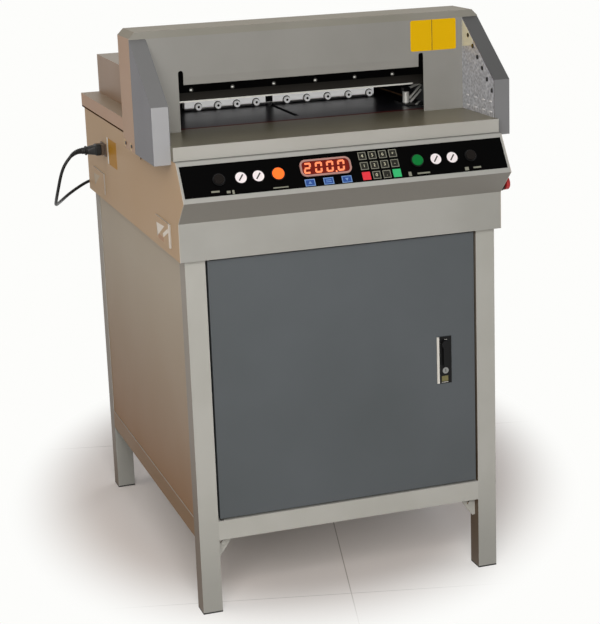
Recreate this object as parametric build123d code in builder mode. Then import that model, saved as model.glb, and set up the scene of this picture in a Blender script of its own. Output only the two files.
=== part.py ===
"""Electric paper cutter of the 450 mm class, standing on its own cabinet on four legs.

The operator stands at the front (-Y). A diagonal knife, a clamp and a motor-driven back gauge
work inside the hood; the cabinet below has one hinged door with a turning-handle lock.
All lengths are millimetres. The origin is on the floor, midway under the machine without its cord.
"""

import os
from math import asin, atan2, cos, degrees, hypot, pi, radians, sin, sqrt

from build123d import *

os.makedirs("parts", exist_ok=True)

# Overall size and shared thicknesses
overall_width = 725.0
overall_depth = 905.0
wing = 32.5
hood_top_above_table = 199.0
sheet = 1.5
heavy_sheet = 3.0
gap = 0.3
running = 0.05
over = 12.0
front_y = -overall_depth / 2
rear_y = overall_depth / 2

# Heights of the main lines
stand_height = 725.0
skirt_height = 74.0
belly_rise = 47.5
fascia_rise = 69.5
fascia_run = 46.0
groove = 1.0
table_thickness = 26.0
skirt_top_z = stand_height + skirt_height
fascia_bottom_z = skirt_top_z + belly_rise
fascia_top_z = fascia_bottom_z + fascia_rise
side_top_z = fascia_top_z + groove
table_z = side_top_z + table_thickness
hood_top_z = table_z + hood_top_above_table

# Plan positions of the main planes
skirt_setback = 50.0
lid_overhang = 21.0
hood_setback = 231.0
guard_setback = 3.0
guard_thickness = 3.0
frame_depth = 75.0
frame_rear_clear = 17.5
hood_depth = guard_setback + guard_thickness + frame_depth + frame_rear_clear
stand_inset_front = 10.0
stand_inset_rear = 8.0
skirt_y = front_y + skirt_setback
fascia_top_y = front_y + fascia_run
body_rear_y = rear_y - lid_overhang
hood_y = front_y + hood_setback
hood_rear_y = hood_y + hood_depth
stand_front_y = skirt_y + stand_inset_front
stand_rear_y = body_rear_y - stand_inset_rear
hood_half = overall_width / 2
body_half = hood_half - wing


def slab(xs, ys, zs, mode=Mode.ADD):
    """A box between two values along each axis, in the part being built."""
    middle = ((xs[0] + xs[1]) / 2, (ys[0] + ys[1]) / 2, (zs[0] + zs[1]) / 2)
    with Locations(middle):
        Box(abs(xs[1] - xs[0]), abs(ys[1] - ys[0]), abs(zs[1] - zs[0]), mode=mode)


def rod(start, direction, radius, length, mode=Mode.ADD):
    """A round bar from its start point along a direction, in the part being built."""
    with BuildSketch(Plane(origin=start, z_dir=direction)) as profile:
        Circle(radius)
    extrude(profile.sketch, amount=length, mode=mode)


def slice_x(points, x_from, x_to, mode=Mode.ADD):
    """A plate of the given (y, z) outline between two x values, in the part being built."""
    with BuildSketch(Plane.YZ.offset(x_from)) as profile:
        with BuildLine():
            Polyline(*points, close=True)
        make_face()
    extrude(profile.sketch, amount=x_to - x_from, mode=mode)


# Stand: square tube legs and rails, sheet panels, floor
leg_size = 40.0
leg_wall = 2.0
plug_base = 3.0
plug_depth = 16.0
rail_bottom_z = 153.0
rail_height = 40.0
panel_recess = 1.5
stand_side_inset = 11.0
stand_half = body_half - stand_side_inset
rail_top_z = rail_bottom_z + rail_height
leg_inner = stand_half - leg_size
leg_rows = {"front": stand_front_y + leg_size / 2, "rear": stand_rear_y - leg_size / 2}
leg_sides = {"left": -stand_half + leg_size / 2, "right": stand_half - leg_size / 2}
rail_front_y = stand_front_y + leg_size
rail_rear_y = stand_rear_y - leg_size

# Door: a folded pan between the front legs
door_gap = 4.5
door_depth = 18.0
door_setback = 1.0
door_top_drop = 4.5
door_half = leg_inner - door_gap
door_bottom_z = rail_top_z + door_gap
door_top_z = stand_height - door_top_drop
door_y = stand_front_y + door_setback
door_back_y = door_y + door_depth
hinge_inset = 4.0
hinge_pin_r = 2.5
hinge_pin_grip = 9.0
hinge_washer_r = 3.6
hinge_x = -door_half + hinge_inset
hinge_y = door_y + hinge_inset

# Lock on the right of the door: escutcheon, turning handle, key cylinder, cam
lock_inset = 69.5
lock_x = leg_inner - lock_inset
lock_half_width = 13.5
lock_rise = 222.0
lock_bottom_z = rail_top_z + lock_rise
lock_height = 98.0
escutcheon = 2.0
lock_body_half_width = 9.5
lock_body_depth = 14.0
lock_body_margin = 8.0
spindle_r = 4.0
handle_pivot_drop = 15.0
handle_length = 48.0
handle_width = 12.0
handle_thickness = 6.0
handle_boss_r = 9.0
handle_standoff = 1.0
cylinder_r = 6.5
cylinder_drop = 71.0
cylinder_proud = 1.2
cylinder_length = 12.0
cam_width = 16.0
cam_thickness = 3.0
cam_clear = 1.5
strike_length = 12.0
strike_height = 34.0
strike_thickness = 3.0
lock_top_z = lock_bottom_z + lock_height
pivot_z = lock_top_z - handle_pivot_drop
cylinder_z = lock_top_z - cylinder_drop
strike_y = door_back_y + cam_clear
cam_y = strike_y + strike_thickness + gap

# Legs, each a square tube closed by a plug
for row, leg_y in leg_rows.items():
    for side, leg_x in leg_sides.items():
        leg_name = f"leg_{row}_{side}"
        with BuildPart() as leg:
            with BuildSketch(Plane.XY.offset(plug_base)):
                with Locations((leg_x, leg_y)):
                    Rectangle(leg_size, leg_size)
                    Rectangle(leg_size - 2 * leg_wall, leg_size - 2 * leg_wall, mode=Mode.SUBTRACT)
            extrude(amount=stand_height - plug_base)
        leg.part.label = leg_name
        export_step(leg.part, f"parts/{leg_name}.step")

# Strike welded to the right front leg, for the cam to turn behind
with BuildPart() as lock_strike:
    slab((leg_inner - strike_length, leg_inner), (strike_y, strike_y + strike_thickness),
         (pivot_z - strike_height / 2, pivot_z + strike_height / 2))
lock_strike.part.label = "lock_strike"
export_step(lock_strike.part, "parts/lock_strike.step")

leg_points = [(leg_x, leg_y) for leg_y in leg_rows.values() for leg_x in leg_sides.values()]

with BuildPart() as leg_plugs:
    with BuildSketch():
        with Locations(*leg_points):
            Rectangle(leg_size, leg_size)
    extrude(amount=plug_base)
    with BuildSketch(Plane.XY.offset(plug_base)):
        with Locations(*leg_points):
            Rectangle(leg_size - 2 * leg_wall, leg_size - 2 * leg_wall)
    extrude(amount=plug_depth)
leg_plugs.part.label = "leg_plugs"
export_step(leg_plugs.part, "parts/leg_plugs.step")

with BuildPart() as lower_rails:
    for rail_y in leg_rows.values():
        with BuildSketch(Plane.YZ.offset(-leg_inner)):
            with Locations((rail_y, rail_bottom_z + rail_height / 2)):
                Rectangle(leg_size, rail_height)
                Rectangle(leg_size - 2 * leg_wall, rail_height - 2 * leg_wall, mode=Mode.SUBTRACT)
        extrude(amount=2 * leg_inner)
    for rail_x in leg_sides.values():
        with BuildSketch(Plane.XZ.offset(-rail_front_y)):
            with Locations((rail_x, rail_bottom_z + rail_height / 2)):
                Rectangle(leg_size, rail_height)
                Rectangle(leg_size - 2 * leg_wall, rail_height - 2 * leg_wall, mode=Mode.SUBTRACT)
        extrude(amount=rail_front_y - rail_rear_y)
lower_rails.part.label = "lower_rails"
export_step(lower_rails.part, "parts/lower_rails.step")

for side, direction in {"left": -1, "right": 1}.items():
    panel_name = f"stand_side_{side}"
    panel_x = direction * (stand_half - panel_recess)
    with BuildPart() as stand_side:
        slab((panel_x, panel_x - direction * sheet), (rail_front_y, rail_rear_y), (rail_top_z, stand_height))
    stand_side.part.label = panel_name
    export_step(stand_side.part, f"parts/{panel_name}.step")

with BuildPart() as stand_back:
    slab((-leg_inner, leg_inner), (stand_rear_y - panel_recess - sheet, stand_rear_y - panel_recess),
         (rail_top_z, stand_height))
stand_back.part.label = "stand_back"
export_step(stand_back.part, "parts/stand_back.step")

floor_half = stand_half - panel_recess - sheet
with BuildPart() as stand_floor:
    slab((-floor_half, floor_half), (rail_front_y, rail_rear_y), (rail_top_z, rail_top_z + sheet))
stand_floor.part.label = "stand_floor"
export_step(stand_floor.part, "parts/stand_floor.step")

# Gussets welded under the rails at the legs, each with its bolt
gusset_reach = 30.0
gusset_drop = 40.0
gusset_thickness = 4.0
gusset_tip = 6.0
gusset_bolt_r = 5.0
gusset_bolt_head = 4.0
gusset_bolt_reach = 12.0
with BuildPart() as rail_gussets:
    for direction in leg_sides.values():
        inward = -direction / abs(direction)
        corner_x = -inward * leg_inner
        for rail_y in leg_rows.values():
            with BuildSketch(Plane.XZ.offset(-rail_y - gusset_thickness / 2)):
                with BuildLine():
                    Polyline(
                        (corner_x, rail_bottom_z),
                        (corner_x + inward * gusset_reach, rail_bottom_z),
                        (corner_x + inward * gusset_reach, rail_bottom_z - gusset_tip),
                        (corner_x + inward * gusset_tip, rail_bottom_z - gusset_drop),
                        (corner_x, rail_bottom_z - gusset_drop),
                        close=True,
                    )
                make_face()
            extrude(amount=gusset_thickness)
            bolt_at = (corner_x + inward * gusset_bolt_reach, rail_y - gusset_thickness / 2,
                       rail_bottom_z - gusset_bolt_reach)
            rod(bolt_at, (0, -1, 0), gusset_bolt_r, gusset_bolt_head)
rail_gussets.part.label = "rail_gussets"
export_step(rail_gussets.part, "parts/rail_gussets.step")

# Pins that the door swings on: one on the rail, one under the body
with BuildPart() as door_hinges:
    rod((hinge_x, hinge_y, rail_top_z), (0, 0, 1), hinge_washer_r, door_gap - gap)
    rod((hinge_x, hinge_y, rail_top_z), (0, 0, 1), hinge_pin_r, door_gap + hinge_pin_grip)
    rod((hinge_x, hinge_y, door_top_z + gap), (0, 0, 1), hinge_washer_r, door_top_drop - gap)
    rod((hinge_x, hinge_y, door_top_z - hinge_pin_grip), (0, 0, 1), hinge_pin_r,
        hinge_pin_grip + door_top_drop)
door_hinges.part.label = "door_hinges"
export_step(door_hinges.part, "parts/door_hinges.step")

hinge_block = 2 * hinge_inset
with BuildPart() as door_panel:
    slab((-door_half, door_half), (door_y, door_back_y), (door_bottom_z, door_top_z))
    slab((-door_half + sheet, door_half - sheet), (door_y + sheet, door_back_y + over),
         (door_bottom_z + sheet, door_top_z - sheet), mode=Mode.SUBTRACT)
    for block_z in (door_bottom_z, door_top_z - hinge_pin_grip - sheet):
        slab((-door_half, -door_half + hinge_block), (door_y, door_y + hinge_block),
             (block_z, block_z + hinge_pin_grip + sheet))
    rod((hinge_x, hinge_y, door_bottom_z - over), (0, 0, 1), hinge_pin_r + running,
        over + hinge_pin_grip + gap, mode=Mode.SUBTRACT)
    rod((hinge_x, hinge_y, door_top_z + over), (0, 0, -1), hinge_pin_r + running,
        over + hinge_pin_grip + gap, mode=Mode.SUBTRACT)
    slab((lock_x - lock_body_half_width, lock_x + lock_body_half_width), (door_y - over, door_y + over),
         (lock_bottom_z + lock_body_margin, lock_top_z - lock_body_margin), mode=Mode.SUBTRACT)
door_panel.part.label = "door_panel"
export_step(door_panel.part, "parts/door_panel.step")

with BuildPart() as lock_housing:
    slab((lock_x - lock_half_width, lock_x + lock_half_width), (door_y - escutcheon, door_y),
         (lock_bottom_z, lock_top_z))
    slab((lock_x - lock_body_half_width, lock_x + lock_body_half_width),
         (door_y, door_y + lock_body_depth),
         (lock_bottom_z + lock_body_margin, lock_top_z - lock_body_margin))
    rod((lock_x, door_y - over, pivot_z), (0, 1, 0), spindle_r + running, over + door_depth,
        mode=Mode.SUBTRACT)
    rod((lock_x, door_y - over, cylinder_z), (0, 1, 0), cylinder_r + running, over + cylinder_length + gap,
        mode=Mode.SUBTRACT)
lock_housing.part.label = "lock_housing"
export_step(lock_housing.part, "parts/lock_housing.step")

handle_back_y = door_y - escutcheon - handle_standoff
with BuildPart() as lock_handle:
    with BuildSketch(Plane.XZ.offset(-handle_back_y)):
        with Locations((lock_x, pivot_z)):
            Circle(handle_boss_r)
        with Locations((lock_x, pivot_z - handle_length / 2)):
            SlotOverall(handle_length, handle_width, rotation=90)
    extrude(amount=handle_thickness)
    rod((lock_x, handle_back_y, pivot_z), (0, 1, 0), spindle_r, cam_y + cam_thickness - handle_back_y)
lock_handle.part.label = "lock_handle"
export_step(lock_handle.part, "parts/lock_handle.step")

with BuildPart() as lock_cylinder:
    rod((lock_x, door_y - escutcheon - cylinder_proud, cylinder_z), (0, 1, 0), cylinder_r,
        escutcheon + cylinder_proud + cylinder_length)
    slab((lock_x - sheet / 2, lock_x + sheet / 2),
         (door_y - escutcheon - cylinder_proud - over, door_y),
         (cylinder_z - cylinder_r / 2, cylinder_z + cylinder_r / 2), mode=Mode.SUBTRACT)
lock_cylinder.part.label = "lock_cylinder"
export_step(lock_cylinder.part, "parts/lock_cylinder.step")

cam_reach = leg_inner - strike_length / 4 - lock_x
with BuildPart() as lock_cam:
    slab((lock_x - cam_width / 2, lock_x + cam_width / 2), (cam_y, cam_y + cam_thickness),
         (pivot_z - cam_reach, pivot_z + cam_width / 2))
    rod((lock_x, cam_y - over, pivot_z), (0, 1, 0), spindle_r, over + cam_thickness + over,
        mode=Mode.SUBTRACT)
lock_cam.part.label = "lock_cam"
export_step(lock_cam.part, "parts/lock_cam.step")

# Body: floor and rear in one bent plate, two sides, and the console across the front
console_sheet = 2.0
rim_depth = 2.0
console_return = 34.0
side_x = body_half - sheet
cord_r = 3.5
clip_inset = 38.0
clip_rise = 20.0
clip_x = clip_inset - body_half
clip_z = stand_height + clip_rise
clip_width = 14.0
clip_size = 15.0
clip_reach = 13.0
clip_y = body_rear_y + clip_reach

with BuildPart() as body_tray:
    slab((-side_x, side_x), (skirt_y + console_sheet, body_rear_y), (stand_height, stand_height + heavy_sheet))
    slab((-side_x, side_x), (body_rear_y - sheet, body_rear_y), (stand_height, side_top_z))
body_tray.part.label = "body_tray"
export_step(body_tray.part, "parts/body_tray.step")

with BuildPart() as cord_clip:
    slab((clip_x - clip_width / 2, clip_x + clip_width / 2), (body_rear_y, clip_y + clip_size / 2),
         (clip_z - clip_size / 2, clip_z + clip_size / 2))
    rod((clip_x - over, clip_y, clip_z), (1, 0, 0), cord_r + gap, 2 * over, mode=Mode.SUBTRACT)
cord_clip.part.label = "cord_clip"
export_step(cord_clip.part, "parts/cord_clip.step")

# Emergency stop on the right side: collar, stem and mushroom head
stop_setback = 1.5
stop_rise = 16.0
stop_y = skirt_y + stop_setback
stop_z = skirt_top_z + stop_rise
stop_collar_r = 14.0
stop_collar = 3.0
stop_stem_r = 6.0
stop_stem = 4.5
stop_head_r = 13.0
stop_head = 9.0
stop_crown = 3.0
stop_tail = 14.0
stop_case_r = 11.0
stop_case = 16.0
stop_hole_r = stop_stem_r + 2 * sheet

# Mains inlet high on the left side, with the lead's connector in it
inlet_margin = 194.0
inlet_rise = 121.0
inlet_y = body_rear_y - inlet_margin
inlet_z = stand_height + inlet_rise
inlet_width = 30.0
inlet_height = 23.0
inlet_flange = 50.0
inlet_flange_height = 27.0
inlet_proud = 9.0
inlet_flange_thickness = 3.0
inlet_inside = 20.0
socket_wall = 3.0
socket_depth = 22.0

# Raised access covers near the corners of both sides, over the bolts to the stand, each with
# a triangular finger recess
access_length = 112.5
access_height = 47.0
access_thickness = 3.0
access_recess = 2.0
access_rise = 16.0
front_access_margin = 60.0
rear_access_margin = 68.5
recess_shares = ((0.933, 0.702), (0.898, 0.128), (0.436, 0.745))
access_bottom_z = stand_height + access_rise
front_access_y = skirt_y + front_access_margin
rear_access_y = body_rear_y - rear_access_margin - access_length
side_outline = [
    (skirt_y, stand_height),
    (skirt_y, skirt_top_z),
    (front_y, fascia_bottom_z),
    (fascia_top_y, fascia_top_z),
    (skirt_y + console_return, fascia_top_z),
    (skirt_y + console_return, side_top_z),
    (body_rear_y, side_top_z),
    (body_rear_y, stand_height),
]
for side, direction in {"left": -1, "right": 1}.items():
    side_name = f"body_side_{side}"
    outer_x = direction * body_half
    inner_x = direction * side_x
    with BuildPart() as body_side:
        slice_x(side_outline, inner_x, outer_x)
        if side == "left":
            slab((-body_half - over, -side_x + over),
                 (inlet_y - inlet_width / 2, inlet_y + inlet_width / 2),
                 (inlet_z - inlet_height / 2, inlet_z + inlet_height / 2), mode=Mode.SUBTRACT)
        else:
            rod((side_x - over, stop_y, stop_z), (1, 0, 0), stop_hole_r, 2 * over, mode=Mode.SUBTRACT)
    body_side.part.label = side_name
    export_step(body_side.part, f"parts/{side_name}.step")

with BuildPart() as access_covers:
    for direction in (-1, 1):
        outer_x = direction * body_half
        cover_x = direction * (body_half + access_thickness)
        for access_y in (front_access_y, rear_access_y):
            slab((outer_x, cover_x), (access_y, access_y + access_length),
                 (access_bottom_z, access_bottom_z + access_height))
            recess = [(access_y + along * access_length, access_bottom_z + up * access_height)
                      for along, up in recess_shares]
            slice_x(recess, cover_x - direction * access_recess, cover_x + direction * over,
                    mode=Mode.SUBTRACT)
access_covers.part.label = "access_covers"
export_step(access_covers.part, "parts/access_covers.step")

# Plane of the sloping control face: x across, y up the slope, z out of it
fascia_length = hypot(fascia_run, fascia_rise)
fascia_plane = Plane(origin=(0, front_y, fascia_bottom_z), x_dir=(1, 0, 0),
                     z_dir=(0, -fascia_rise, fascia_run))
rim_bottom = 10.0
rim_top = 8.0
rim_side = 5.0
fascia_sheet = 1.5
fascia_half = body_half - rim_side
fascia_height = fascia_length - rim_bottom - rim_top
fascia_middle = rim_bottom + fascia_height / 2
fascia_face = fascia_sheet - rim_depth

# Controls: places across the slope and up it
control_row = 43.0
cut_button_inset = 71.0
cut_button_x = fascia_half - cut_button_inset
cut_button_r = 10.0
power_button_x = -138.5
power_button_r = 11.5
reset_button_x = 142.5
reset_button_r = 11.0
collar_width = 2.0
collar_height = 1.6
button_proud = 4.5
button_flange = 1.5
button_flange_thickness = 1.5
button_edge = 0.9
key_size = 16.5
key_margin_low = 3.25
key_margin_high = 4.0
key_left_x = 33.8
key_columns = 4
key_rows = 3
key_bottom = rim_bottom + key_margin_low + key_size / 2
key_pitch = (fascia_height - key_margin_low - key_margin_high - key_size) / (key_rows - 1)
key_emboss = 0.5
blue_key_xs = (-80.0, -43.0, -6.5)
blue_key_margin = 2.0
blue_key_width = 20.0
blue_key_height = 14.0
blue_key_row = rim_bottom + blue_key_margin + blue_key_height / 2
display_x = -43.0
display_width = 102.0
display_key_gap = 5.0
display_top_margin = 9.8
display_bottom = blue_key_row + blue_key_height / 2 + display_key_gap
display_height = rim_bottom + fascia_height - display_top_margin - display_bottom
display_row = display_bottom + display_height / 2
display_corner = 12.0
display_frame = 3.5
display_height_out = 2.5
display_lens_out = 1.2
buttons = {
    "cut_button_left": (-cut_button_x, cut_button_r),
    "cut_button_right": (cut_button_x, cut_button_r),
    "power_button": (power_button_x, power_button_r),
    "reset_button": (reset_button_x, reset_button_r),
}

slope_angle = atan2(fascia_rise, fascia_run)
belly_angle = atan2(belly_rise, skirt_setback)
slope_wall = console_sheet + rim_depth
front_turn = belly_angle + slope_angle
inner_front_y = front_y + (console_sheet * cos(slope_angle) + slope_wall * cos(belly_angle)) / sin(front_turn)
inner_front_z = fascia_bottom_z + (console_sheet * sin(slope_angle) - slope_wall * sin(belly_angle)) / sin(front_turn)
inner_skirt_z = skirt_top_z + console_sheet * (1 - sin(belly_angle)) / cos(belly_angle) - console_sheet / 2
inner_top_y = fascia_top_y + (slope_wall - console_sheet * cos(slope_angle)) / sin(slope_angle)
with BuildPart() as console_housing:
    console_outline = [
        (skirt_y, stand_height),
        (skirt_y, skirt_top_z),
        (front_y, fascia_bottom_z),
        (fascia_top_y, fascia_top_z),
        (skirt_y + console_return, fascia_top_z),
        (skirt_y + console_return, fascia_top_z - console_sheet),
        (inner_top_y, fascia_top_z - console_sheet),
        (inner_front_y, inner_front_z),
        (skirt_y + console_sheet, inner_skirt_z),
        (skirt_y + console_sheet, stand_height),
    ]
    slice_x(console_outline, -side_x, side_x)
    with BuildSketch(fascia_plane.offset(over)):
        with Locations((0, fascia_middle)):
            Rectangle(2 * fascia_half, fascia_height)
    extrude(amount=-over - rim_depth, mode=Mode.SUBTRACT)
    for place, radius in buttons.values():
        with BuildSketch(fascia_plane):
            with Locations((place, control_row)):
                Circle(radius + running)
        extrude(amount=-over, mode=Mode.SUBTRACT)
console_housing.part.label = "console_housing"
export_step(console_housing.part, "parts/console_housing.step")

key_places = [(key_left_x + column * key_pitch, key_bottom + row * key_pitch)
              for row in range(key_rows) for column in range(key_columns)]
with BuildPart() as control_fascia:
    with BuildSketch(fascia_plane.offset(-rim_depth)):
        with Locations((0, fascia_middle)):
            Rectangle(2 * fascia_half, fascia_height)
    extrude(amount=fascia_sheet)
    with BuildSketch(fascia_plane.offset(fascia_face)):
        with Locations(*key_places):
            Rectangle(key_size, key_size)
        with Locations(*[(key_x, blue_key_row) for key_x in blue_key_xs]):
            Rectangle(blue_key_width, blue_key_height)
    extrude(amount=key_emboss)
    for place, radius in buttons.values():
        with BuildSketch(fascia_plane.offset(over)):
            with Locations((place, control_row)):
                Circle(radius + running)
        extrude(amount=-2 * over, mode=Mode.SUBTRACT)
control_fascia.part.label = "control_fascia"
export_step(control_fascia.part, "parts/control_fascia.step")

with BuildPart() as display_window:
    with BuildSketch(fascia_plane.offset(fascia_face)):
        with Locations((display_x, display_row)):
            RectangleRounded(display_width, display_height, display_corner)
            RectangleRounded(display_width - 2 * display_frame, display_height - 2 * display_frame,
                             display_corner - display_frame, mode=Mode.SUBTRACT)
    extrude(amount=display_height_out)
    with BuildSketch(fascia_plane.offset(fascia_face)):
        with Locations((display_x, display_row)):
            RectangleRounded(display_width - 2 * display_frame, display_height - 2 * display_frame,
                             display_corner - display_frame)
    extrude(amount=display_lens_out)
display_window.part.label = "display_window"
export_step(display_window.part, "parts/display_window.step")

with BuildPart() as button_collars:
    for place, radius in buttons.values():
        with BuildSketch(fascia_plane.offset(fascia_face)):
            with Locations((place, control_row)):
                Circle(radius + collar_width)
                Circle(radius + running, mode=Mode.SUBTRACT)
        extrude(amount=collar_height)
    rod((side_x - stop_case, stop_y, stop_z), (1, 0, 0), stop_case_r, stop_case)
    rod((body_half, stop_y, stop_z), (1, 0, 0), stop_collar_r, stop_collar)
    rod((side_x, stop_y, stop_z), (1, 0, 0), stop_hole_r - running, sheet)
    rod((side_x - stop_case - over, stop_y, stop_z), (1, 0, 0), stop_stem_r + running,
        stop_case + 2 * over + over, mode=Mode.SUBTRACT)
button_collars.part.label = "button_collars"
export_step(button_collars.part, "parts/button_collars.step")

for button_name, (place, radius) in buttons.items():
    with BuildPart() as button:
        with BuildSketch(fascia_plane.offset(button_proud + fascia_face)):
            with Locations((place, control_row)):
                Circle(radius)
        extrude(amount=-button_proud - fascia_face - slope_wall - gap - button_flange_thickness)
        fillet(button.faces().sort_by(Axis((0, 0, 0), fascia_plane.z_dir))[-1].edges(), button_edge)
        with BuildSketch(fascia_plane.offset(-slope_wall - gap)):
            with Locations((place, control_row)):
                Circle(radius + button_flange)
        extrude(amount=-button_flange_thickness)
    button.part.label = button_name
    export_step(button.part, f"parts/{button_name}.step")

stop_head_x = body_half + stop_collar + stop_stem
with BuildPart() as stop_button:
    rod((side_x - stop_tail, stop_y, stop_z), (1, 0, 0), stop_stem_r, stop_head_x - side_x + stop_tail)
    rod((stop_head_x, stop_y, stop_z), (1, 0, 0), stop_head_r, stop_head)
    fillet(stop_button.faces().sort_by(Axis.X)[-1].edges(), stop_crown)
stop_button.part.label = "stop_button"
export_step(stop_button.part, "parts/stop_button.step")

# Table: a thick plate on the body, an apron across its front, a slot for the back gauge
apron_setback = 58.0
apron_sheet = 2.0
slot_x = -4.0
slot_width = 10.0
slot_spare = 9.0
stick_setback = 27.0
stick_width = 12.0
stick_depth = 12.0
stick_margin = 25.0
stick_half = body_half - stick_margin
apron_y = front_y + apron_setback
deck_front_y = apron_y + apron_sheet
stick_y = hood_y + stick_setback

# Back gauge, driven along the slot by a screw under the table
table_clear = 1.5
gauge_left_margin = 136.0
gauge_right_margin = 99.0
gauge_left_x = gauge_left_margin - body_half
gauge_right_x = body_half - gauge_right_margin
gauge_setback = 259.0
gauge_beam = 12.0
gauge_height = 41.0
finger_thickness = 6.0
finger_gap_left = 11.0
finger_gap_right = 4.0
finger_gap_left_x = slot_x - finger_gap_left
finger_gap_right_x = slot_x + finger_gap_right
knuckle_r = 7.0
knuckle_hole_r = 2.5
knuckle_thickness = 6.0
knuckle_z = table_z + table_clear + knuckle_r
left_knuckle_shares = (0.165, 0.405, 0.637, 0.877)
right_knuckle_shares = (0.136, 0.333, 0.535, 0.742, 0.95)
left_finger = finger_gap_left_x - gauge_left_x
right_finger = gauge_right_x - finger_gap_right_x
knuckle_xs = [gauge_left_x + left_finger * share for share in left_knuckle_shares]
knuckle_xs += [finger_gap_right_x + right_finger * share for share in right_knuckle_shares]
tongue_width = 7.0
clamp_setback = 37.2
clamp_depth = 33.8
gauge_clamp_gap = 7.0
gauge_nut_width = 36.0
gauge_nut_length = 30.0
gauge_nut_height = 30.0
gauge_screw_r = 6.0
gauge_motor_r = 17.0
gauge_motor_length = 72.0
gauge_motor_clear = 2.0
gauge_motor_rear_clear = 11.0
coupling_gap = 1.0
bearing_width = 32.0
bearing_length = 12.0
bearing_clear = 2.0
bearing_rear_spare = 30.0
gauge_y = hood_y + gauge_setback
gauge_beam_y = gauge_y + finger_thickness
gauge_rear_y = gauge_beam_y + gauge_beam
gauge_screw_z = side_top_z - gauge_motor_r - gauge_motor_clear
nut_y = gauge_beam_y + gauge_beam / 2
gauge_forward = gauge_setback - knuckle_thickness - clamp_setback - clamp_depth - gauge_clamp_gap
gauge_drive = bearing_rear_spare + bearing_length + 2 * coupling_gap + gauge_motor_length + gauge_motor_rear_clear
gauge_back = body_rear_y - gauge_drive - nut_y - gauge_nut_length / 2
front_bearing_y = nut_y - gauge_nut_length / 2 - gauge_forward - bearing_clear
rear_bearing_y = nut_y + gauge_nut_length / 2 + gauge_back + bearing_rear_spare
slot_front_y = gauge_beam_y - gauge_forward - slot_spare
slot_rear_y = gauge_rear_y + gauge_back + slot_spare

with BuildPart() as table_deck:
    slab((-body_half, body_half), (deck_front_y, body_rear_y), (side_top_z, table_z))
    for bearing_ys in ((front_bearing_y - bearing_length, front_bearing_y),
                       (rear_bearing_y, rear_bearing_y + bearing_length)):
        slab((slot_x - bearing_width / 2, slot_x + bearing_width / 2), bearing_ys,
             (gauge_screw_z - bearing_width / 2, side_top_z))
    slab((slot_x - slot_width / 2, slot_x + slot_width / 2), (slot_front_y, slot_rear_y),
         (side_top_z - over, table_z + over), mode=Mode.SUBTRACT)
    slab((-stick_half, stick_half), (stick_y, stick_y + stick_width),
         (table_z - stick_depth, table_z + over), mode=Mode.SUBTRACT)
    rod((slot_x, front_bearing_y - bearing_length - over, gauge_screw_z), (0, 1, 0),
        gauge_screw_r + running, rear_bearing_y - front_bearing_y + 2 * (bearing_length + over),
        mode=Mode.SUBTRACT)
table_deck.part.label = "table_deck"
export_step(table_deck.part, "parts/table_deck.step")

with BuildPart() as table_apron:
    slab((-body_half, body_half), (apron_y, deck_front_y), (side_top_z, table_z))
table_apron.part.label = "table_apron"
export_step(table_apron.part, "parts/table_apron.step")

with BuildPart() as cutting_stick:
    slab((-stick_half, stick_half), (stick_y, stick_y + stick_width), (table_z - stick_depth, table_z))
cutting_stick.part.label = "cutting_stick"
export_step(cutting_stick.part, "parts/cutting_stick.step")

# Rear cover over the back gauge, on a lid round the rear half of the table
cover_side_margin = 39.0
cover_half = body_half - cover_side_margin
cover_rear_margin = 10.0
cover_rise = 88.0
lid_rim = 5.0
lid_half = body_half + sheet
lid_top_z = table_z + sheet
cover_rear_y = rear_y - cover_rear_margin
cover_top_z = table_z + cover_rise
with BuildPart() as rear_lid:
    slab((-lid_half, lid_half), (hood_rear_y, rear_y), (side_top_z, lid_top_z))
    slab((-body_half, body_half), (hood_rear_y - over, rear_y - sheet), (side_top_z - over, table_z),
         mode=Mode.SUBTRACT)
    slab((-cover_half + lid_rim, cover_half - lid_rim), (hood_rear_y - over, cover_rear_y - lid_rim),
         (table_z - over, lid_top_z + over), mode=Mode.SUBTRACT)
rear_lid.part.label = "rear_lid"
export_step(rear_lid.part, "parts/rear_lid.step")

with BuildPart() as rear_cover:
    slab((-cover_half, cover_half), (hood_rear_y, cover_rear_y), (lid_top_z, cover_top_z))
    slab((-cover_half + sheet, cover_half - sheet), (hood_rear_y - over, cover_rear_y - sheet),
         (lid_top_z - over, cover_top_z - sheet), mode=Mode.SUBTRACT)
rear_cover.part.label = "rear_cover"
export_step(rear_cover.part, "parts/rear_cover.step")

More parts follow.
